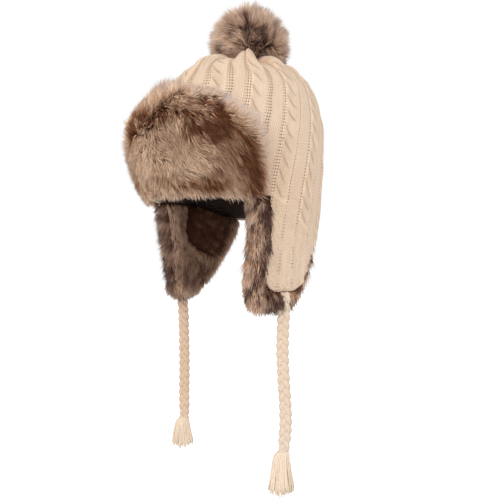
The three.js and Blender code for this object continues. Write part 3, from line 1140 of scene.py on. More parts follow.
    def relief(self, angle: Array, z: Array) -> tuple[Array, dict[str, Array]]:
        """Shape the knit.

        Args:
            angle: Angles from the front.
            z: Nominal heights, in the same shape.

        Returns:
            The distance off the form, and the values that the finish shades by.
        """
        plain = self.plain(angle, z)
        run = self.run(z)
        place = self.place(angle, z)
        wander = ripple(place, 30.0, 81)
        share = self.share(angle + 0.5 * wander, z)
        count = share * self.repeats - self.first_cable
        phase = (count - self.left_groove) % 1.0 + self.left_groove
        cable = np.floor(count - self.left_groove)
        openness = self.openness(angle, z)
        left, right = (
            lerp(shut, wide, openness) / self.repeat_width
            for shut, wide in zip(self.shut_grooves, self.open_grooves)
        )
        x = self.spread(phase, self.left_groove + left, self.right_groove - right)
        y = self.spread(phase, self.right_groove + right, 1.0 + self.left_groove - left)
        on_cable = np.abs(x) < 1.0
        on_rib = np.abs(y) < 1.0

        lean = self.slant * (x + 1.0 + self.bow * (1.0 - x * x))
        lobe_turn = run / self.crossing + lean + self.offset * cable + 0.1 * wander
        within = lobe_turn % 1.0
        crease = 1.0 - np.sqrt(4.0 * within * (1.0 - within))
        crease = crease * lerp(0.92, 0.15, smoothstep(-0.1, 0.9, x))
        dome = np.clip(1.0 - np.abs(x) ** 4.0, 0.0, 1.0) ** 0.7
        rib = np.clip(1.0 - y ** 4.0, 0.0, 1.0) * (1.0 - 0.42 * np.cos(y * 3.0 * math.pi) ** 2)
        deepest = lerp(lerp(0.2, 0.6, openness), 1.0, smoothstep(124.0, 150.0, z))
        groove = self.groove.at(z) * deepest
        cable_off = -groove + (groove + self.proud) * dome * (1.0 - crease)
        rib_off = -groove + groove * self.rib_share * rib
        knit = np.where(on_cable, cable_off, np.where(on_rib, rib_off, -groove))
        slack = 0.35 * np.cos(8.0 * math.pi * phase) + 0.6 * ripple(place, 17.0, 83)
        off = lerp(knit, slack - 0.9, plain) + 0.45 * wander + self.gathers(angle, z)

        lane, half = self.lanes(phase, left, right)
        away = np.abs(lane)
        # The gutter marks the purl holes, which the finish paints dark as shade.
        faded = np.clip(0.25 + 0.9 * ripple(place, 22.0, 82), 0.0, 0.8)
        gutter = (1.0 - smoothstep(half * 0.9, half * 1.35 + 0.6, away)) * lerp(1.0, faded, plain)
        gutter = gutter * lerp(1.0, lerp(0.45, 1.0, smoothstep(-half, half * 0.8, lane)), openness)
        gutter = gutter * (1.0 - 0.4 * smoothstep(112.0, 140.0, z))
        shadow = 1.0 - smoothstep(half * 0.5, half * 1.4 + 1.6, away)
        shadow = shadow * smoothstep(112.0, 146.0, z)
        # Painted shade in the cable creases and in the grooves of the gathers, kept as the hollow
        # value.
        fold = np.where(on_cable, np.clip(crease * 1.8 - 0.5, 0.0, 0.9) * dome, 0.0)

        climb = math.atan2(self.slant * self.crossing, self.cable_half)
        along_lobe = x * self.cable_half * math.cos(climb) - run * math.sin(climb)
        twisted = on_cable & (plain < 0.5)
        from_edge = np.abs(np.abs(x) - 1.0)
        calm = np.maximum(smoothstep(0.1, 0.28, from_edge), smoothstep(0.55, 0.7, plain))
        calm = calm * np.where(on_cable, smoothstep(0.1, 0.25, np.abs(plain - 0.5)), 1.0)
        return off, {
            "wale": np.where(twisted, lobe_turn * 3.6, share * self.repeats * self.wales),
            "row": np.where(twisted, along_lobe, run) / self.row,
            "rung": run / self.rung,
            "calm": calm,
            "lane": lane,
            "gutter": gutter,
            "hollow": fold * (1.0 - 0.85 * plain) + 0.4 * shadow,
        }

    @staticmethod
    def spread(phase: Array, low: Array, high: Array) -> Array:
        """Return where a phase lies between two edges, from -1 to 1."""
        return (2.0 * phase - low - high) / (high - low)


PATTERN = KnitPattern()


@dataclass(frozen=True)
class KnitCrown:
    """Knit dome with its hem turned to a smooth inside."""

    columns: int = 504
    wall_rows: int = 130
    shoulder_rows: int = 30
    wall_top: float = 150.0
    top: float = 170.45
    inner_heights: tuple[float, ...] = (0.3, 4, 30, 60, 90, 110, 128, 145, 156, 164, 168, 170.2)
    wall: Table = Table(
        (0, 106, 128, 145, 156, 164, 168, 170.5), (4.5, 4.6, 5.5, 8, 10.5, 12, 11, 9.5),
    )

    def heights(self) -> Array:
        """Space the rings of the outside.

        Returns:
            Their heights from the hem to the top.
        """
        low = np.concatenate([[0.0, 0.35], np.linspace(1.2, self.wall_top, self.wall_rows)])
        dense = np.linspace(self.wall_top, self.top, 300)
        runs = KnitPattern.run(dense)
        high = np.interp(np.linspace(runs[0], runs[-1], self.shoulder_rows + 1)[1:], runs, dense)
        return np.concatenate([low, high])

    def build(self, finish: Material) -> Piece:
        """Build the crown as one closed wall.

        Args:
            finish: The piece's material.

        Returns:
            The piece.
        """
        share = (np.arange(self.columns) / self.columns)[None, :]
        outer_z = self.heights()[:, None]
        outer_angle = PATTERN.angle(share, outer_z)
        outer_off, values = PATTERN.relief(outer_angle, np.broadcast_to(outer_z, outer_angle.shape))
        inner_z = np.array(self.inner_heights)[::-1, None]
        inner_angle = PATTERN.angle(share, inner_z)
        inner_off = np.broadcast_to(-self.wall.at(inner_z), inner_angle.shape)
        grid = np.concatenate([
            FORM.point(inner_angle, inner_z, inner_off),
            FORM.point(outer_angle, outer_z, outer_off),
        ])
        wales = np.broadcast_to(share * PATTERN.repeats * PATTERN.wales, inner_angle.shape)
        rows = np.broadcast_to(inner_z / PATTERN.row, inner_angle.shape)
        none = np.zeros(inner_angle.shape)
        inner = {"wale": wales, "row": rows, "rung": rows, "calm": none + 1.0}
        joined_values = {
            key: np.concatenate([inner.get(key, none), value]) for key, value in values.items()
        }
        parts = shell(grid, joined_values)
        return make_piece("knit_crown", parts, finish, Slot.KNIT, ["crown"], crease=KNIT_CREASE)


@dataclass(frozen=True)
class FlapSide:
    """How the ear flap of one side hangs."""

    side: Side
    tuck: float
    reach: float
    forward: float
    rearward: float
    flare: float = 0.0
    tip: float = -102.0

    @property
    def name(self) -> str:
        """Name of the side."""
        return self.side.name.lower()

    def hung(self, parts: MeshParts) -> MeshParts:
        """Return parts made for the left side as they hang on this side."""
        return parts if self.side is Side.LEFT else parts.mirrored()

    def edge(self, table: Table, z: Array, front: bool) -> Array:
        """Return the angle of the front or the rear edge at each height."""
        if front:
            return table.at(z) - self.forward * np.maximum(0.0, 1.0 - z / self.tip)
        return table.at(z) + self.rearward * (z / self.tip)

    def point(self, angle: Array, z: Array, off: Array | float) -> Array:
        """Place points on the flap as it hangs on the left side.

        Args:
            angle: Angles from the front.
            z: Nominal heights.
            off: Distances off the knit's surface.

        Returns:
            The points.
        """
        points = FORM.point(angle, z * self.reach, off)
        points[..., 0] += self.tuck * (z / self.tip) ** 2
        return points


LEFT_FLAP = FlapSide(Side.LEFT, tuck=0.0, reach=1.02, forward=-1.0, rearward=2.5)
RIGHT_FLAP = FlapSide(Side.RIGHT, tuck=-5.0, reach=0.96, forward=1.5, rearward=2.0, flare=0.8)

KNIT_HEIGHTS = (-102, -97, -87, -72, -52, -28, 0)
KNIT_FRONT = Table(KNIT_HEIGHTS, (74, 69, 66, 66.5, 68.5, 69.5, 68))
KNIT_REAR = Table(KNIT_HEIGHTS, (86, 94, 102, 109, 118, 126, 131))
FUR_HEIGHTS = (-121, -112, -98, -80, -55, -28, 0)
FUR_FRONT = Table(FUR_HEIGHTS, (65, 58.5, 56, 55.5, 57, 57, 55))
FUR_REAR = Table(FUR_HEIGHTS, (78, 84.5, 96, 107.5, 117, 125, 130))


@dataclass(frozen=True)
class KnitFlap:
    """Knit panel of an ear flap."""

    flap: FlapSide
    columns: int = 72
    rows: int = 92
    knit: float = 4.5
    foot: float = -102.0
    rounding: float = 3.5
    rumple: float = 0.84

    def build(self, finish: Material) -> Piece:
        """Build the panel, with the crown's columns running down into it.

        Args:
            finish: The piece's material.

        Returns:
            The piece.
        """
        even = np.linspace(0.0, 1.0, self.columns)
        s = lerp(even, smoothstep(0.0, 1.0, even), 0.35)[None, :]
        low = np.linspace(0.0, 0.06, 8)[:-1]
        t = np.concatenate([low, np.linspace(0.06, 0.9985, self.rows), [1.0]])[:, None]
        z = np.broadcast_to(self.foot * (1.0 - t), (len(t), self.columns))
        front = self.flap.edge(KNIT_FRONT, z, True)
        rear = self.flap.edge(KNIT_REAR, z, False)
        angle = lerp(front, rear, s)
        off, values = PATTERN.relief(angle * self.flap.side.value, z)
        edge = np.minimum(np.minimum(s, 1.0 - s) * (rear - front) * 1.7, t * 90.0)
        thick = rounded(edge / self.rounding)
        fold = self.rumple * np.sin(np.radians(angle - 80.0) * 22.0) * smoothstep(-70.0, -98.0, z)
        middle = -self.knit / 2.0
        outer = self.flap.point(angle, z, middle + (off + fold - middle) * thick)
        inner = self.flap.point(angle, z, middle - self.knit / 2.0 * thick)
        outer[-1] = self.flap.point(angle[-1:], z[-1:], middle)[0]
        return make_piece(
            f"{self.flap.name}_knit_flap", self.flap.hung(pillow(outer, inner, values)), finish,
            Slot.KNIT, [f"{self.flap.name}_ear_flap"], crease=KNIT_CREASE,
        )


@dataclass
class Roots:
    """Places that hairs grow from."""

    points: Array
    normals: Array
    across: Array
    up: Array

    def kept(self, mask: Array) -> "Roots":
        """Return only the roots that a mask keeps."""
        return Roots(self.points[mask], self.normals[mask], self.across[mask], self.up[mask])


def scatter(grid: Array, count: int, rng: Random, inward: bool = False) -> Roots:
    """Spread roots evenly over a grid of points.

    Args:
        grid: Points of a surface, rows from low to high and columns from front to back.
        count: Number of roots.
        rng: Source of the random places.
        inward: Whether the surface faces in instead of out.

    Returns:
        The roots, with their shares of the way across and up the grid.
    """
    a, b = grid[1:, 1:] - grid[:-1, :-1], grid[1:, :-1] - grid[:-1, 1:]
    normals = np.cross(a, b)
    areas = np.linalg.norm(normals, axis=2)
    edges = np.cumsum(areas.ravel())
    picks = (np.arange(count) + rng.random(count)) / count * edges[-1]
    cells = np.minimum(np.searchsorted(edges, picks), areas.size - 1)
    row, column = np.unravel_index(cells, areas.shape)
    u, v = rng.random(count), rng.random(count)
    corner = [
        grid[row, column], grid[row, column + 1], grid[row + 1, column], grid[row + 1, column + 1],
    ]
    weights = [(1 - u) * (1 - v), u * (1 - v), (1 - u) * v, u * v]
    points = sum(weight[:, None] * place for weight, place in zip(weights, corner))
    facing = unit(normals[row, column]) * (-1.0 if inward else 1.0)
    rows, columns = areas.shape
    return Roots(points, facing, (column + u) / columns, (row + v) / rows)


@dataclass(frozen=True)
class Coat:
    """How hairs of one kind grow and draw together into locks."""

    thickness: float
    clump: float
    gather: float
    bend: float = 0.45
    stray: float = 0.14
    uneven: float = 0.11

    def grow(
        self, roots: Roots, lie: Array, lengths: Array, rng: Random,
    ) -> tuple[MeshParts, Array]:
        """Grow one closed tapering hair from each root.

        Args:
            roots: Places the hairs grow from.
            lie: Direction in which each hair comes to lie.
            lengths: Length of each hair.
            rng: Random source.

        Returns:
            The hairs, and each hair's tip.
        """
        count = len(roots.points)
        stray = rng.normal(size=(count, 3)) * self.stray
        length = lengths * (1.0 + self.uneven * rng.normal(size=count).clip(-2.0, 2.0))
        tips = roots.points + unit(unit(lie) + stray) * length[:, None]
        tips = self.drawn_together(roots.points, tips, length, rng)
        rise = unit(roots.normals + 0.35 * unit(lie) + stray)
        knees = roots.points + rise * (length * self.bend)[:, None]
        middles = 0.25 * roots.points + 0.5 * knees + 0.25 * tips
        along = unit(tips - roots.points)
        first = unit(np.cross(along, unit(rng.normal(size=(count, 3)))))
        second = np.cross(along, first)
        radius = self.thickness / 2.0 * rng.uniform(0.75, 1.25, count)
        turn = np.radians([0.0, 120.0, 240.0])
        wide, high = (way(turn)[None, :, None] for way in (np.cos, np.sin))
        ring = (first[:, None] * wide + second[:, None] * high) * radius[:, None, None]
        points = np.concatenate([
            roots.points[:, None] + ring, middles[:, None] + ring * 0.8, tips[:, None],
        ], axis=1)
        return self.meshed(points, rng), tips

    def drawn_together(
        self, roots: Array, tips: Array, lengths: Array, rng: Random,
    ) -> Array:
        """Draw the tips of neighbouring hairs together.

        Args:
            roots: Roots of the hairs.
            tips: Tips of the hairs before they are drawn together.
            lengths: Lengths of the hairs.
            rng: Source of the random choice of middles.

        Returns:
            The new tips.
        """
        middles = rng.permutation(len(roots))[:max(2, int(len(roots) / self.clump))]
        tree = KDTree(len(middles))
        for index, hair in enumerate(middles):
            tree.insert(roots[hair], index)
        tree.balance()
        owners = middles[np.array([tree.find(root)[1] for root in roots])]
        follow = roots + (tips[owners] - roots[owners])
        meeting = lerp(follow, tips[owners], 0.8)
        share = self.gather * rng.uniform(0.5, 1.0, len(roots))
        moved = lerp(tips, meeting, share[:, None]) - roots
        reach = np.minimum(lengths, np.linalg.norm(moved, axis=1) * 1.05)
        return roots + unit(moved) * reach[:, None]

    @staticmethod
    def meshed(points: Array, rng: Random) -> MeshParts:
        """Close the hairs.

        Args:
            points: Seven points for each hair: root ring, middle ring and tip.
            rng: Source of each hair's own shade.

        Returns:
            The closed hairs with the values along and chance.
        """
        count = len(points)
        order = np.arange(count)
        start = (order * HAIR_POINTS)[:, None, None]
        quads = np.array([[0, 1, 4, 3], [1, 2, 5, 4], [2, 0, 3, 5]])
        tris = np.array([[0, 2, 1], [3, 4, 6], [4, 5, 6], [5, 3, 6]])
        third = 1.0 / 3.0
        quad_places = np.array([
            [[k * third, 0.08], [(k + 1) * third, 0.08], [(k + 1) * third, 0.55], [k * third, 0.55]]
            for k in range(3)
        ])
        tri_places = np.array([[[0.1, 0.0], [0.6, 0.0], [0.9, 0.07]]] + [
            [[k * third, 0.56], [(k + 1) * third, 0.56], [(k + 0.5) * third, 0.98]] for k in range(3)
        ])
        across = math.ceil(math.sqrt(count))
        cell = np.stack([order % across, order // across], axis=1)[:, None, None]
        return MeshParts(
            points.reshape(-1, 3),
            (start + quads).reshape(-1, 4),
            (start + tris).reshape(-1, 3),
            ((cell + quad_places * 0.94 + 0.03) / across).reshape(-1, 4, 2),
            ((cell + tri_places * 0.94 + 0.03) / across).reshape(-1, 3, 2),
            {
                "along": np.tile([0.0, 0.0, 0.0, 0.5, 0.5, 0.5, 1.0], count),
                "chance": np.repeat(rng.random(count), HAIR_POINTS),
            },
        )


def shaded(parts: MeshParts, tone: Array, frost: Array) -> MeshParts:
    """Return the hairs with how dark each is and how pale its tip is."""
    parts.values |= {
        name: np.repeat(np.clip(value, 0.0, 1.0), HAIR_POINTS)
        for name, value in (("tone", tone), ("frost", frost))
    }
    return parts


@dataclass(frozen=True)
class Patch:
    """Dark or light patch of fur, by where the tips of its hairs show."""

    across: float
    up: float
    wide: float
    high: float
    strength: float

    def at(self, across: Array, up: Array) -> Array:
        """Return the patch's part at distances from its middle."""
        return self.strength * np.exp(-0.5 * ((across / self.wide) ** 2 + (up / self.high) ** 2))


@dataclass(frozen=True)
class FrontFlap:
    """Turned-up front flap of deep fur."""

    half_angle: float = 62.0
    edge: float = 3.0
    foot: float = 1.0
    top: float = 108.0
    depth: float = 0.66
    seat: float = 0.9
    reach: float = 132.0
    hairs: int = 17500
    long_hairs: int = 5200
    longer: float = 1.1
    coat: Coat = Coat(1.15, 20.0, 0.5, stray=0.2)
    long_coat: Coat = Coat(0.8, 9.0, 0.5, stray=0.2)
    columns: int = 65
    rows: int = 33
    seed: int = 7
    proud: Table = Table((1, 12, 32, 56, 78, 96, 108), (4, 11, 18, 23, 23, 17, 8))
    width: Table = Table((1, 12, 32, 56, 78, 96, 108), (0.96, 0.98, 0.96, 0.9, 0.81, 0.68, 0.5))
    length: Line = Line((0, 0.1, 0.3, 0.5, 0.8, 0.9, 1), (12, 13, 16.5, 18.5, 19.5, 19, 17))
    low_share: Line = Line((-1, -0.7, -0.3, 0.1, 0.6, 0.85, 1), (0.84, 0.76, 0.75, 0.92, 1, 1.1, 1.3))
    top_share: Line = Line((-1, -0.5, -0.25, 0, 0.3, 0.6, 1), (0.6, 0.55, 0.6, 1.05, 0.95, 0.5, 0.45))
    parting: Line = Line(
        (-62, -45, -22, 0, 7, 14, 36, 41, 46, 51, 56, 62),
        (45, 55, 62, 80, 84, 105, 105, 86, 77, 70, 45, 12),
    )
    low_rise: Line = Line((-5, 10, 25, 60), (-1.4, -1.1, -0.85, -0.8))
    high_rise: Line = Line((20, 70, 108), (0.7, 0.9, 1.7))
    low_side: Line = Line((-62, -40, -18, 10, 45, 62), (-0.8, -0.5, 0.6, 0.85, 0.7, 0.45))
    high_side: Line = Line((-62, -40, -15, 20, 45, 54, 62), (-0.8, -0.7, -0.6, -0.5, -0.35, 0.2, 0.6))
    rim_top: Line = Line(
        (0, 17, 30, 40, 44, 49, 55, 59, 62, 66, 70),
        (122, 119, 110, 103, 101, 97, 85, 72, 57, 30, 5),
    )
    rim_share: Line = Line((-62, -20, 10, 25, 40, 60, 66), (0.35, 0.35, 0.35, 0.6, 1.0, 1.0, 0.5))
    dark: tuple[Patch, ...] = (
        Patch(0, 84, 10, 7, 0.6), Patch(15, 76, 13, 8, 0.6), Patch(6, 70, 12, 8, 0.35),
        Patch(40, 54, 9, 8, 0.2), Patch(-8, 90, 13, 6, 0.55), Patch(-16, 78, 10, 8, 0.7),
        Patch(-10, 69, 8, 8, 0.75), Patch(-14, 57, 7, 8, 0.7), Patch(35, 91, 9, 5, 0.5),
        Patch(42, 89, 6, 5, 0.45), Patch(42, 80, 5, 7, 1.0), Patch(45, 70, 5, 6, 0.85),
        Patch(26, 72, 7, 4, 0.5), Patch(30, 57, 5, 4, 0.45), Patch(38, 58, 8, 7, 0.35),
        Patch(44, 53, 8, 7, 0.55), Patch(48, 57, 7, 7, 0.45), Patch(54, 49, 6, 8, 0.5),
        Patch(57, 41, 5, 8, 0.45), Patch(48, 31, 12, 9, 0.32), Patch(55, 27, 10, 10, 0.4),
        Patch(60, 31, 5, 12, 0.35), Patch(58, 15, 9, 8, 0.5), Patch(8, 11, 9, 3, 0.45),
        Patch(36, 1, 10, 4, 0.65), Patch(22, 4, 10, 3, 0.35), Patch(60, -4, 9, 9, 0.9),
        Patch(46, 4, 12, 5, 0.35), Patch(34, 60, 12, 10, 0.32), Patch(20, 8, 24, 6, 0.25),
        Patch(38, 12, 12, 8, 0.35), Patch(30, 80, 16, 10, 0.12), Patch(30, 48, 12, 10, 0.34),
        Patch(-45, 72, 14, 8, 0.7), Patch(-38, 42, 10, 9, 0.6), Patch(-55, 30, 10, 14, 0.7),
        Patch(-25, 12, 12, 5, 0.4),
    )
    light: tuple[Patch, ...] = (
        Patch(14, 53, 14, 10, 0.1), Patch(34, 25, 11, 9, 0.45), Patch(20, 21, 14, 8, 0.4),
        Patch(-3, 28, 14, 12, 1.05), Patch(0, 46, 10, 10, 0.7), Patch(16, 100, 20, 8, 0.2),
    )

    def point(self, s: Array, t: Array, depth: Array | float) -> Array:
        """Place points on the flap's body.

        Args:
            s: Shares of the way round.
            t: Shares of the way up.
            depth: Shares of the way out.

        Returns:
            The points.
        """
        z = lerp(self.foot, self.top, t)
        across = 2.0 * s - 1.0
        taper = np.sqrt(np.maximum(0.0, 1.0 - across ** 4))
        proud = self.edge + (self.proud.at(z) - self.edge) * taper
        angle = self.half_angle * self.width.at(z) * across
        return FORM.point(angle, z, self.seat + (proud - self.seat) * depth)

    def lie(self, angle: Array, z: Array) -> Array:
        """Lay the hairs down below the parting and up above it.

        Args:
            angle: Angles from the front.
            z: Nominal heights.

        Returns:
            The directions they lie in.
        """
        back, up, out = FORM.axes(angle, z)
        place = np.stack([angle * 2.2, z, z * 0.0], axis=-1)
        swirl = 0.25 * ripple(place, 45.0, 11)
        parting = self.parting.at(angle)
        above = z - parting + 5.0 * ripple(place, 26.0, 12) + 2.0 * ripple(place, 9.0, 13)
        raised = smoothstep(-17.0, 17.0, above)
        flat = smoothstep(8.0, 34.0, angle) * smoothstep(66.0, 92.0, z)
        rise = lerp(self.low_rise.at(z), self.high_rise.at(z), raised) * (1.0 - 0.3 * flat)
        turned = smoothstep(4.0, 32.0, above)
        side = lerp(self.low_side.at(angle), self.high_side.at(angle), turned)
        wild = 0.26 + 0.08 * bell(z, parting, 9.0)
        rise = rise + swirl + wild * ripple(place, 13.0, 14)
        side = side + swirl + wild * ripple(place, 13.0, 15)
        return 0.45 * out + up * rise[:, None] + back * side[:, None]

    def patched(self, patches: tuple[Patch, ...], angle: Array, z: Array) -> Array:
        """Return the sum of patches where hairs' tips show."""
        return sum(
            patch.at(np.radians(angle - patch.across) * self.reach, z - patch.up) for patch in patches
        )

    def rim(self, angle: Array, z: Array) -> Array:
        """Return how near hairs' tips are to the pale rim of the flap, from 0 to 1."""
        top = smoothstep(-19.0, -4.0, z - self.rim_top.at(np.abs(angle))) * self.rim_share.at(angle)
        return np.maximum(top, smoothstep(0.0, -9.0, z) * 0.25)

    def grown(
        self, outer: Array, count: int, coat: Coat, longer: float, rng: Random,
    ) -> MeshParts:
        """Grow and shade hairs on the flap.

        Args:
            outer: Grid of points of the flap's outside.
            count: Number of hairs.
            coat: Kind of hair.
            longer: Length against the flap's usual length.
            rng: Random source.

        Returns:
            The shaded hairs.
        """
        roots = scatter(outer, count, rng)
        across = 2.0 * roots.across - 1.0
        high = smoothstep(0.6, 0.86, roots.up)
        share = lerp(self.low_share.at(across), self.top_share.at(across), high)
        lengths = self.length.at(roots.up) * longer * share
        lie = self.lie(*FORM.where(roots.points)) + 0.3 * roots.normals
        parts, tips = coat.grow(roots, lie, lengths, rng)
        angle, z = FORM.where(tips)
        mottle = 0.26 * ripple(tips, 12.0, 22) + 0.3 * ripple(tips, 6.5, 23)
        mottle = mottle + 0.12 * ripple(tips, 34.0, 21)
        mottle = mottle * lerp(1.0, 0.6, smoothstep(38.0, 48.0, angle))
        tone = 0.32 + self.patched(self.dark, angle, z) - 0.5 * self.patched(self.light, angle, z)
        rim = self.rim(angle, z)
        chance = 0.25 * rng.random(len(tone))
        frost = 0.2 + 0.85 * rim + chance - 0.35 * np.clip(tone, 0.0, 1.0)
        return shaded(parts, tone + mottle - 0.35 * rim, frost)

    def build(self, finish: Material) -> list[Piece]:
        """Build the flap's fur and its long outer hairs.

        Args:
            finish: The piece's material.

        Returns:
            The two pieces.
        """
        rng = np.random.default_rng(self.seed)
        s, t = shares(self.columns, self.rows)
        edge = np.minimum(np.minimum(s, 1.0 - s) * 6.0, np.minimum(t, 1.0 - t) * 5.0)
        outer = self.point(s, t, self.depth * lerp(0.25, 1.0, rounded(edge)))
        inner = self.point(s, t, 0.0)
        body = pillow(outer, inner, {"tone": np.full(s.shape, 0.8), "chance": np.full(s.shape, 0.4)})
        under = self.grown(outer, self.hairs, self.coat, 1.0, rng)
        over = self.grown(outer, self.long_hairs, self.long_coat, self.longer, rng)
        nodes = ["front_flap"]
        return [
            make_piece("front_flap_fur", joined([body, under]), finish, Slot.FUR, nodes),
            make_piece("front_flap_long_hairs", over, finish, Slot.FUR, nodes),
        ]


@dataclass(frozen=True)
class EarLining:
    """Fur that lines an ear flap and stands out past its edges."""

    flap: FlapSide
    knit: float = 5.3
    fur: float = 11.0
    foot: float = -117.0
    trim: float = 0.0
    roll: float = 0.8
    hairs: int = 9600
    coat: Coat = Coat(1.0, 17.0, 0.5, stray=0.2, uneven=0.2)
    inner_coat: Coat = Coat(0.95, 18.0, 0.5)
    columns: int = 57
    rows: int = 45
    pad: float = 5.0
    seam_depth: float = 5.0
    seam_width: float = 3.0
    seam_end: Span = (-58.0, -70.0)
    seed: int = 31
    shade: float = 0.32
    contrast: float = 0.36
    seam: Line = Line((-100, -74, -59, -45, -28, 0, 17), (140, 122, 95, 79, 75.5, 82, 89))
    length: Line = Line((-120, -100, -40, -5), (12, 13, 14, 11))

    def grids(self) -> tuple[Array, Array, Array, Array]:
        """Lay out the lining.

        Returns:
            Its angles and heights, and its outer and inner points.
        """
        s, t = shares(self.columns, self.rows)
        z = self.foot * (1.0 - t)
        trim = self.trim * np.clip(z / self.foot, 0.0, 1.0)
        front = self.flap.edge(FUR_FRONT, z, True) + 1.0 + trim
        rear = self.flap.edge(FUR_REAR, z, False) - 1.0
        angle = lerp(front, rear, s)
        knit_front = self.flap.edge(KNIT_FRONT, z, True)
        below = smoothstep(-101.0, -107.0, z)
        cover = smoothstep(knit_front - 5.0, knit_front - 1.0, angle) * (1.0 - below)
        edge = np.minimum(np.minimum(s, 1.0 - s) * (rear - front) * 1.75 / 8.0, t * 95.0 / 9.0)
        thick = rounded(edge)
        behind = self.behind(angle, z)
        pad = self.pad * smoothstep(1.0, 14.0, behind) * (1.0 - smoothstep(-54.0, -72.0, z))
        groove = self.seam_depth * bell(behind, 0.0, self.seam_width)
        groove = groove * (1.0 - smoothstep(*self.seam_end, z))
        outside = lerp(self.roll, -self.knit, cover)
        inside = -self.knit - self.fur - pad + groove
        middle = -self.knit - self.fur / 2.0
        outer = self.flap.point(angle, z, middle + (outside - middle) * thick)
        inner = self.flap.point(angle, z, middle + (inside - middle) * thick)
        return angle, z, outer, inner

    def behind(self, angle: Array, z: Array) -> Array:
        """Return how far points lie behind the seam of the ear pad."""
        return np.radians(angle - self.seam.at(z)) * 100.0

    def build(self, finish: Material) -> Piece:
        """Build the lining with its fur.

        Args:
            finish: The piece's material.

        Returns:
            The piece.
        """
        rng = np.random.default_rng(self.seed)
        angle, z, outer, inner = self.grids()
        body = pillow(outer, inner, {"tone": np.full(z.shape, 1.0), "chance": np.full(z.shape, 0.3)})
        outside = scatter(outer, int(self.hairs * 1.1), rng)
        angle, z = FORM.where(outside.points)
        knit_front = self.flap.edge(KNIT_FRONT, z / self.flap.reach, True)
        knit_rear = self.flap.edge(KNIT_REAR, z / self.flap.reach, False)
        showing = (angle < knit_front - 1.5) | (z < -103.0) | (angle > knit_rear - 3.5)
        outside = outside.kept(showing & (z < -3.0))
        inside = scatter(inner, int(self.hairs * 0.72), rng, inward=True)
        edge = np.concatenate([inner[:, 3:0:-1], outer[:, :3]], axis=1)
        front = scatter(edge, int(self.hairs * 0.12), rng)
        front = front.kept(front.points[:, 2] < -0.3)
        whole = joined([
            body, self.outer_hairs(outside, rng), self.inner_hairs(inside, rng),
            self.outer_hairs(front, rng),
        ])
        return make_piece(
            f"{self.flap.name}_ear_fur", self.flap.hung(whole), finish, Slot.FUR,
            [f"{self.flap.name}_ear_lining"],
        )

    def outer_hairs(self, roots: Roots, rng: Random) -> MeshParts:
        """Grow the hairs of the rim and of the roll in front of the knit.

        Args:
            roots: Places the hairs grow from.
            rng: Random source.

        Returns:
            The shaded hairs.
        """
        angle, z = FORM.where(roots.points)
        back, up, out = FORM.axes(angle, z)
        forward = smoothstep(80.0, 60.0, angle) * 0.1 - 0.4 * ripple(roots.points, 20.0, 44)
        flare = self.flap.flare * smoothstep(-88.0, -30.0, z) + 0.25 * ripple(roots.points, 16.0, 45)
        lie = 0.42 * roots.normals - up - back * forward[:, None] + out * (0.1 + flare)[:, None]
        parts, tips = self.coat.grow(roots, lie, self.length.at(z), rng)
        knit_front = self.flap.edge(KNIT_FRONT, z / self.flap.reach, True)
        ahead = knit_front - angle
        # Painted shade: hairs just ahead of the knit's front edge are darker, more so near the top of
        # the flap.
        reach = 8.0 + 3.0 * smoothstep(-60.0, -80.0, z)
        knit_edge_shade = smoothstep(reach, 1.0, ahead) * smoothstep(-10.0, -3.0, ahead)
        top = smoothstep(-38.0, -10.0, z) * smoothstep(13.0, 6.0, ahead)
        tip_angle, tip_z = FORM.where(tips)
        level = np.zeros(len(tip_z))
        streaks = sum(
            ripple(np.stack([tip_angle * across, tip_z * along, level], axis=-1), wave, seed)
            for across, along, wave, seed in ((3.2, 0.5, 10.0, 42), (1.6, 0.6, 15.0, 46))
        )
        tone = self.shade + 0.85 * knit_edge_shade + 0.6 * top + 0.25 * ripple(tips, 30.0, 41)
        tone = tone + self.contrast * streaks
        frost = 0.55 + 0.3 * rng.random(len(tone)) - 0.5 * np.clip(tone, 0.0, 1.0)
        return shaded(parts, tone, frost)

    def inner_hairs(self, roots: Roots, rng: Random) -> MeshParts:
        """Grow the hairs of the inside, shorter and darker on the ear pad.

        Args:
            roots: Places the hairs grow from.
            rng: Random source.

        Returns:
            The shaded hairs.
        """
        angle, z = FORM.where(roots.points)
        _, up, _ = FORM.axes(angle, z)
        behind = self.behind(angle, z)
        pad = smoothstep(-1.0, 5.0, behind) * (1.0 - smoothstep(-58.0, -72.0, z))
        rim = np.maximum(smoothstep(0.12, 0.02, roots.across), smoothstep(0.88, 0.98, roots.across))
        rim = np.maximum(rim, smoothstep(0.16, 0.03, roots.up))
        # Painted shade: hairs in the groove along the pad's seam are darker and less frosted.
        seam = bell(behind, 0.0, 1.5 * self.seam_width) * (1.0 - smoothstep(*self.seam_end, z))
        lie = -1.0 * up + lerp(0.4, 0.6, pad)[:, None] * roots.normals
        length = lerp(lerp(10.0, 5.5, pad), 11.0, rim) * (1.0 - 0.75 * seam)
        parts, tips = self.inner_coat.grow(roots, lie, length, rng)
        low = smoothstep(-60.0, -90.0, z)
        mottle = lerp(0.14, 0.07, pad) * ripple(tips, 15.0, 43)
        tone = lerp(lerp(0.66 + 0.2 * low, 0.9, pad), 1.2, seam) + mottle - 0.35 * rim
        frost = lerp(0.22, 0.0, pad) * (0.6 + 0.8 * rng.random(len(tone))) + 0.25 * rim
        return shaded(parts, tone, frost - 0.3 * seam)


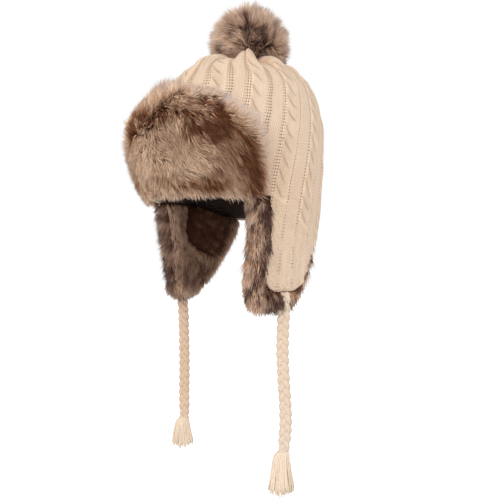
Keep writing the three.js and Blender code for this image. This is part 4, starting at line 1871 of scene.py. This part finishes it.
@dataclass(frozen=True)
class CrownLining:
    """Short dark plush that lines the crown."""

    columns: int = 96
    gap: float = 0.4
    plush: float = 5.0
    rise: float = 1.5
    hairs: int = 3000
    pile: float = 6.0
    coat: Coat = Coat(1.1, 12.0, 0.4)
    seed: int = 51
    heights: tuple[float, ...] = (
        0, 8, 18, 30, 42, 55, 68, 80, 92, 104, 115, 125, 134, 142, 149, 155, 160, 164, 167, 169.5,
    )

    def build(self, finish: Material) -> Piece:
        """Build the lining, a closed dome with short pile inside.

        Args:
            finish: The piece's material.

        Returns:
            The piece.
        """
        rng = np.random.default_rng(self.seed)
        angle = (360.0 * np.arange(self.columns) / self.columns)[None, :]
        z = np.maximum(np.array(self.heights), self.rise)[:, None]
        wall = KnitCrown().wall.at(z) + self.gap
        outer = FORM.point(angle, z, -wall)
        swell = ripple(outer, 60.0, 52)
        inner = FORM.point(angle, z, -wall - self.plush + 0.8 * swell)
        grid = np.concatenate([inner[::-1], outer])
        tone = np.ones(grid.shape[:2])
        body = shell(grid, {"tone": tone, "chance": tone * 0.3})
        closed = np.concatenate([inner, inner[:, :1]], axis=1)
        roots = scatter(closed, self.hairs, rng, inward=True)
        back, up, _ = FORM.axes(*FORM.where(roots.points))
        lie = roots.normals * 0.8 - up * 0.6 + back * 0.1
        parts, tips = self.coat.grow(roots, lie, np.full(self.hairs, self.pile), rng)
        hairs = shaded(parts, 0.75 + 0.25 * ripple(tips, 30.0, 53), np.full(self.hairs, 0.1))
        return make_piece("plush_lining", joined([body, hairs]), finish, Slot.PLUSH, ["crown_lining"])


@dataclass(frozen=True)
class Pompom:
    """Fur ball on the gathered top."""

    centre: tuple[float, float, float] = (0.0, 20.0, 194.0)
    core: float = 29.0
    reach: float = 53.0
    seat: float = 171.2
    hairs: int = 15500
    coat: Coat = Coat(1.05, 70.0, 0.45, bend=0.5, stray=0.1, uneven=0.07)
    columns: int = 48
    rows: int = 25
    steepest: float = 88.0
    seed: int = 61
    kept_seed: int = 68
    parting_angle: float = 42.0
    partings: tuple[Patch, ...] = (
        Patch(1, 14, 15, 20, 0.5), Patch(16, 0, 7, 8, 0.42), Patch(-8, 23, 7, 8, 0.3),
        Patch(-25, 12, 4, 18, 0.4),
    )

    @property
    def sideways(self) -> Array:
        """Direction across the side where the fur parts."""
        turn = math.radians(self.parting_angle)
        return np.array([math.cos(turn), math.sin(turn), 0.0])

    def build(self, finish: Material) -> Piece:
        """Build the pompom, cut off where it sits on the crown.

        Args:
            finish: The piece's material.

        Returns:
            The piece.
        """
        rng = np.random.default_rng(self.seed)
        middle = np.array(self.centre)
        turn = np.radians(np.arange(self.columns) * (360.0 / self.columns))
        level = np.radians(np.linspace(-self.steepest, self.steepest, self.rows))
        ball = np.stack([
            np.cos(level)[:, None] * np.cos(turn),
            np.cos(level)[:, None] * np.sin(turn),
            np.repeat(np.sin(level)[:, None], len(turn), axis=1),
        ], axis=-1)
        grid = middle + ball * self.core
        grid[..., 2] = np.maximum(grid[..., 2], self.seat)
        tone = np.ones(grid.shape[:2])
        body = shell(grid, {"tone": tone, "chance": tone * 0.3})
        closed = np.concatenate([ball, ball[:, :1]], axis=1)
        roots = scatter(middle + closed * self.core, self.hairs, rng)
        roots.normals = unit(roots.points - middle)
        swirl = np.stack([ripple(roots.points, 30.0, seed) for seed in (62, 63, 64)], axis=-1)
        lie = roots.normals + 0.42 * swirl
        lie -= 0.2 * self.sideways * self.facing(roots.normals)[:, None]
        length = (self.reach - self.core) * (1.0 + 0.06 * ripple(roots.points, 24.0, 65))
        high = roots.normals[:, 2]
        crest = 0.07 * np.exp(-((high - 0.9) / 0.07) ** 2) - 0.12 * smoothstep(0.93, 1.0, high)
        length = length * (1.0 + crest) * (1.0 + 0.08 * np.exp(-((high - 0.68) / 0.16) ** 2))
        length = np.where(high < -0.2, length * 0.9, length)
        parts, tips = self.coat.grow(roots, lie, length, rng)
        kept = tips[:, 2] > self.seat - 9.0
        hairs = self.only(self.toned(parts, tips, rng), kept)
        return make_piece("fur_pompom", joined([body, hairs]), finish, Slot.FUR, ["pompom"])

    def facing(self, directions: Array) -> Array:
        """Return how far directions point to the front left, where the fur parts."""
        return smoothstep(0.0, 0.6, directions @ np.cross(self.sideways, UP))

    def toned(self, parts: MeshParts, tips: Array, rng: Random) -> MeshParts:
        """Shade the hairs, darkest in the parting at the front left.

        Args:
            parts: The hairs.
            tips: The hairs' tips.
            rng: Random source.

        Returns:
            The shaded hairs.
        """
        away = tips - np.array(self.centre)
        right, up = away @ self.sideways, away[:, 2]
        parting = sum(patch.at(right - patch.across, up - patch.up) for patch in self.partings)
        tone = 0.32 + parting * self.facing(unit(away)) + 0.14 * smoothstep(8.0, 30.0, right)
        tone = tone + 0.26 * ripple(tips, 28.0, 66) + 0.24 * ripple(tips, 12.0, 67)
        frost = 0.5 + 0.3 * rng.random(len(tone)) - 0.5 * tone
        return shaded(parts, tone, frost)

    def only(self, parts: MeshParts, kept: Array) -> MeshParts:
        """Drop some hairs.

        Args:
            parts: The hairs.
            kept: Mask of the hairs to keep.

        Returns:
            The kept hairs.
        """
        points = parts.points.reshape(-1, HAIR_POINTS, 3)[kept]
        rebuilt = Coat.meshed(points, np.random.default_rng(self.kept_seed))
        for key, value in parts.values.items():
            rebuilt.values[key] = value.reshape(-1, HAIR_POINTS)[kept].ravel()
        return rebuilt


@dataclass(frozen=True)
class BraidedTie:
    """Plait of three strands with the tassel at its end."""

    side: Side
    route: tuple[tuple[float, float, float], ...]
    fray: float
    seed: int
    # Painted shade laid over the whole braid, strongest at its top.
    shade: float = 0.0
    width: float = 13.0
    lateral: float = 3.85
    deep: float = 1.5
    strand: float = 3.3
    lay: float = 28.5
    steps: int = 14
    rings: int = 190
    twist: float = 7.0
    facing: float = 26.0
    corners: int = 12
    yarns: int = 150
    yarn_rings: int = 11
    yarn_corners: int = 6
    fan: Line = Line((0, 0.12, 0.3, 0.65, 1), (3.6, 7.6, 9.6, 12, 14.6))
    yarn: Line = Line((0, 0.85, 1), (0.95, 1, 0.6))

    @property
    def axes(self) -> tuple[Array, Array]:
        """Work out the directions of the plait.

        Returns:
            The directions across its flat and through it.
        """
        turn = math.radians(self.facing)
        across = np.array([math.cos(turn), math.sin(turn), 0.0])
        return across, np.cross(across, UP)

    def braid(self) -> MeshParts:
        """Plait the three strands, each a closed tube.

        Returns:
            The strands.
        """
        line = catmull_rom(np.array(self.route, dtype=float), self.steps)
        lengths = arc_lengths(line)
        total = lengths[-1]
        along = np.linspace(0.0, total, self.rings)
        path = np.stack([np.interp(along, lengths, line[:, k]) for k in range(3)], axis=1)
        across, depth = self.axes
        narrow = lerp(0.66, 1.0, smoothstep(4.0, 22.0, along))
        narrow = narrow * lerp(1.0, 0.72, smoothstep(total - 16.0, total, along))
        strands = []
        for k in range(3):
            turn = 2.0 * math.pi * (along / self.lay + k / 3.0)
            middle = (
                path
                + across * (self.lateral * narrow * np.sin(turn))[:, None]
                + depth * (self.deep * narrow * np.sin(2.0 * turn))[:, None]
            )
            size = self.strand * lerp(0.8, 1.0, narrow)
            # Painted shade where a strand passes under the others, plus the painted shade over the
            # whole braid.
            under = np.clip(-np.sin(2.0 * turn), 0.0, 1.0)
            values = {
                "twist": along / self.twist,
                "tone": 0.15 + 0.1 * np.sin(turn),
                "hollow": 0.15 * under + self.shade * lerp(1.0, 0.7, along / total),
            }
            strands.append(tube(middle, size * 1.08, size * 0.92, across, values, self.corners))
        return joined(strands)

    def tassel(self, rng: Random) -> MeshParts:
        """Fan out the loose yarns under the braid.

        Args:
            rng: Random source.

        Returns:
            The yarns.
        """
        end = np.array(self.route[-1], dtype=float)
        across, depth = self.axes
        t = np.linspace(0.0, 1.0, self.yarn_rings)
        yarns = []
        for k in range(self.yarns):
            ring = math.sqrt((k + 0.5) / self.yarns)
            turn = k * math.pi * (3.0 - math.sqrt(5.0))
            x, y = ring * math.cos(turn), ring * math.sin(turn)
            spread = self.fan.at(t)
            lean = -3.0 * smoothstep(0.0, 0.25, t)
            wave = 0.55 * np.sin(t * 5.0 + rng.uniform(0.0, 6.28)) * t
            length = self.fray * rng.uniform(0.86, 1.0) * (1.0 - 0.06 * abs(x))
            path = (
                end
                + across * (x * spread + lean + wave)[:, None]
                + depth * (y * spread * 0.85 + 0.4 * wave)[:, None]
                - UP * (t * length - 2.0)[:, None]
            )
            size = self.yarn.at(t) * rng.uniform(0.85, 1.15)
            # Inner yarns get painted shade through the hollow value.
            values = {
                "twist": t * length / 4.0,
                "tone": np.full(len(t), rng.uniform(0.0, 0.3) + 0.3 * (1.0 - ring)),
                "hollow": np.full(len(t), 0.06 * (1.0 - ring)),
            }
            yarns.append(tube(path, size, size, across, values, self.yarn_corners))
        return joined(yarns)

    def build(
        self, finish: Material, loose: Material,
    ) -> list[Piece]:
        """Build the braid and its tassel.

        Args:
            finish: The braid's material.
            loose: The tassel's material.

        Returns:
            The two pieces.
        """
        name = self.side.name.lower()
        rng = np.random.default_rng(self.seed)
        tie = make_piece(f"{name}_braid", self.braid(), finish, Slot.BRAID, [f"{name}_tie"])
        tassel = make_piece(
            f"{name}_tassel_yarns", self.tassel(rng), loose, Slot.BRAID, [f"{name}_tassel"],
        )
        route = [tuple(value * MM for value in point) for point in self.route]
        length = float(arc_lengths(catmull_rom(np.array(route), self.steps))[-1])
        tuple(route[0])
        return [tie, tassel]


LEFT_ROUTE = (
    (90, -20.5, -105), (89.7, -20.4, -110.5), (88.2, -20.1, -120), (86.8, -19.8, -132),
    (85.8, -19.6, -145), (85.2, -19.5, -158), (85, -19.4, -171), (85.4, -19.3, -184),
    (86, -19.1, -197), (86.8, -18.9, -210), (87.8, -18.7, -223), (88.4, -18.5, -236),
    (88.5, -18.4, -249), (87.3, -18.3, -261), (86.2, -18.2, -271.5), (86, -18.2, -279),
)
RIGHT_ROUTE = (
    (-83.4, -20.5, -99.2), (-83, -20.3, -105.5), (-81.8, -20, -116), (-80.4, -19.8, -130),
    (-79.4, -19.6, -144), (-79, -19.5, -158), (-78.6, -19.4, -171), (-78.4, -19.3, -184),
    (-78.2, -19.2, -197), (-78.2, -19.1, -210), (-78.4, -19, -223), (-78.8, -18.9, -236),
    (-79, -18.8, -249), (-78.9, -18.7, -261), (-78.7, -18.6, -270), (-78.6, -18.6, -276),
)


@dataclass(frozen=True)
class Lamp:
    """Soft square light that looks at the hat: angles, metres and watts."""

    name: str
    azimuth: float
    elevation: float
    distance: float
    size: float
    power: float


@dataclass(frozen=True)
class Studio:
    """Camera, soft lights and pale floor."""

    azimuth: float = 42.0
    distance: float = 0.650
    aside: float = 0.0145
    height: float = -0.058
    focal_pixels: float = 528.0
    picture: float = 500.0
    sensor: float = 36.0
    floor_height: float = -0.62
    floor_size: float = 12.0
    lamps: tuple[Lamp, ...] = (
        Lamp("key", 14.0, 26.0, 2.2, 1.6, 22.0),
        Lamp("fill", 80.0, 10.0, 2.4, 1.8, 9.0),
        Lamp("top", 120.0, 75.0, 2.2, 1.8, 2.4),
    )

    def camera(self) -> None:
        """Place the camera level, at the photograph's distance and angle."""
        turn = math.radians(self.azimuth)
        data = bpy.data.cameras.new("camera")
        data.sensor_width = self.sensor
        data.lens = self.focal_pixels / self.picture * self.sensor
        data.clip_start = 0.01
        camera = placed("camera", data)
        camera.location = (
            math.sin(turn) * self.distance + math.cos(turn) * self.aside,
            -math.cos(turn) * self.distance + math.sin(turn) * self.aside,
            self.height,
        )
        camera.rotation_euler = (math.radians(90.0), 0.0, turn)
        bpy.context.scene.camera = camera

    @staticmethod
    def light(lamp: Lamp) -> None:
        """Add a soft light that looks at the hat.

        Args:
            lamp: The light's sizes.
        """
        data = bpy.data.lights.new(lamp.name, "AREA")
        data.shape = "SQUARE"
        data.size = lamp.size
        data.energy = lamp.power
        light = placed(lamp.name, data)
        turn, rise = math.radians(lamp.azimuth), math.radians(lamp.elevation)
        light.location = (
            math.sin(turn) * math.cos(rise) * lamp.distance,
            -math.cos(turn) * math.cos(rise) * lamp.distance,
            math.sin(rise) * lamp.distance,
        )
        light.rotation_euler = (math.radians(90.0) - rise, 0.0, turn)

    def surroundings(self) -> None:
        """Make the even white room."""
        world = bpy.data.worlds.new("white_room")
        world.use_nodes = True
        sheet = NodeSheet(world.node_tree)
        room = world.node_tree.nodes["Background"]
        seen = sheet.node("ShaderNodeLightPath").outputs["Is Camera Ray"]
        strength = sheet.ease(seen, 0.0, 1.0, 0.88, 1.0)
        sheet.put_all(room, {"Color": WHITE, "Strength": strength})
        bpy.context.scene.world = world
        bpy.context.scene.view_settings.view_transform = "Standard"

    def floor(self) -> None:
        """Lay the pale floor, which only shows from above."""
        half = self.floor_size / 2.0
        mesh = bpy.data.meshes.new("floor")
        corners = [(-half, -half), (half, -half), (half, half), (-half, half)]
        mesh.from_pydata([(x, y, self.floor_height) for x, y in corners], [], [(0, 1, 2, 3)])
        material = bpy.data.materials.new("pale_floor")
        material.use_nodes = True
        sheet = NodeSheet(material.node_tree)
        shader = material.node_tree.nodes["Principled BSDF"]
        seen = sheet.node("ShaderNodeLightPath").outputs["Is Camera Ray"]
        below = sheet.node("ShaderNodeNewGeometry").outputs["Backfacing"]
        sheet.put_all(shader, {
            "Base Color": (0.93, 0.93, 0.93, 1.0), "Roughness": 1.0, "Specular IOR Level": 0.0,
            "Emission Color": WHITE, "Emission Strength": sheet.math("MULTIPLY", seen, 0.6),
            "Alpha": sheet.math("SUBTRACT", 1.0, below),
        })
        mesh.materials.append(material)
        placed("floor", mesh)

    def build(self) -> None:
        """Make the whole studio."""
        self.camera()
        self.surroundings()
        self.floor()
        for lamp in self.lamps:
            self.light(lamp)


def main() -> None:
    """Build the hat and its studio."""
    logging.basicConfig(level=logging.INFO, format="%(name)s: %(message)s")
    Studio().build()
    effects = Effects()
    yarn = YarnFinish("cream_yarn", roughness=0.85).build(effects)
    loose = YarnFinish(
        "loose_yarn", roughness=0.85, base=linear(250, 230, 208), warmer=linear(246, 220, 188),
    ).build(effects)
    BraidedTie(Side.LEFT, LEFT_ROUTE, fray=49.0, seed=71).build(yarn, loose)
    # The far braid gets painted shade.
    BraidedTie(Side.RIGHT, RIGHT_ROUTE, fray=39.5, seed=72, shade=0.55).build(yarn, loose)
    knit = KnitFinish("cream_knit").build(effects)
    KnitCrown().build(knit)
    for flap in (LEFT_FLAP, RIGHT_FLAP):
        KnitFlap(flap).build(knit)
    mottled = FurFinish(
        "mottled_fur", roughness=0.75, sheen=0.0, specular=0.1, root=linear(100, 63, 43),
        light=linear(237, 204, 171), dark=linear(144, 86, 48), tip=linear(242, 225, 216),
    ).build(effects)
    FrontFlap().build(mottled)
    lining = FurFinish(
        "lining_fur", roughness=0.75, sheen=0.0, specular=0.1, root=linear(82, 49, 37),
        light=linear(224, 180, 146), dark=linear(88, 50, 36),
    ).build(effects)
    EarLining(LEFT_FLAP).build(lining)
    EarLining(RIGHT_FLAP, trim=6.0, seed=32, shade=0.66, contrast=0.12).build(lining)
    Pompom().build(FurFinish("pompom_fur", roughness=0.7, sheen=0.1).build(effects))
    plush = FurFinish(
        "dark_plush", roughness=0.85, root=linear(56, 39, 31), light=linear(132, 98, 80),
        dark=linear(92, 64, 52), tip=linear(140, 108, 90),
    ).build(effects)
    CrownLining().build(plush)


if __name__ == "__main__":
    main()
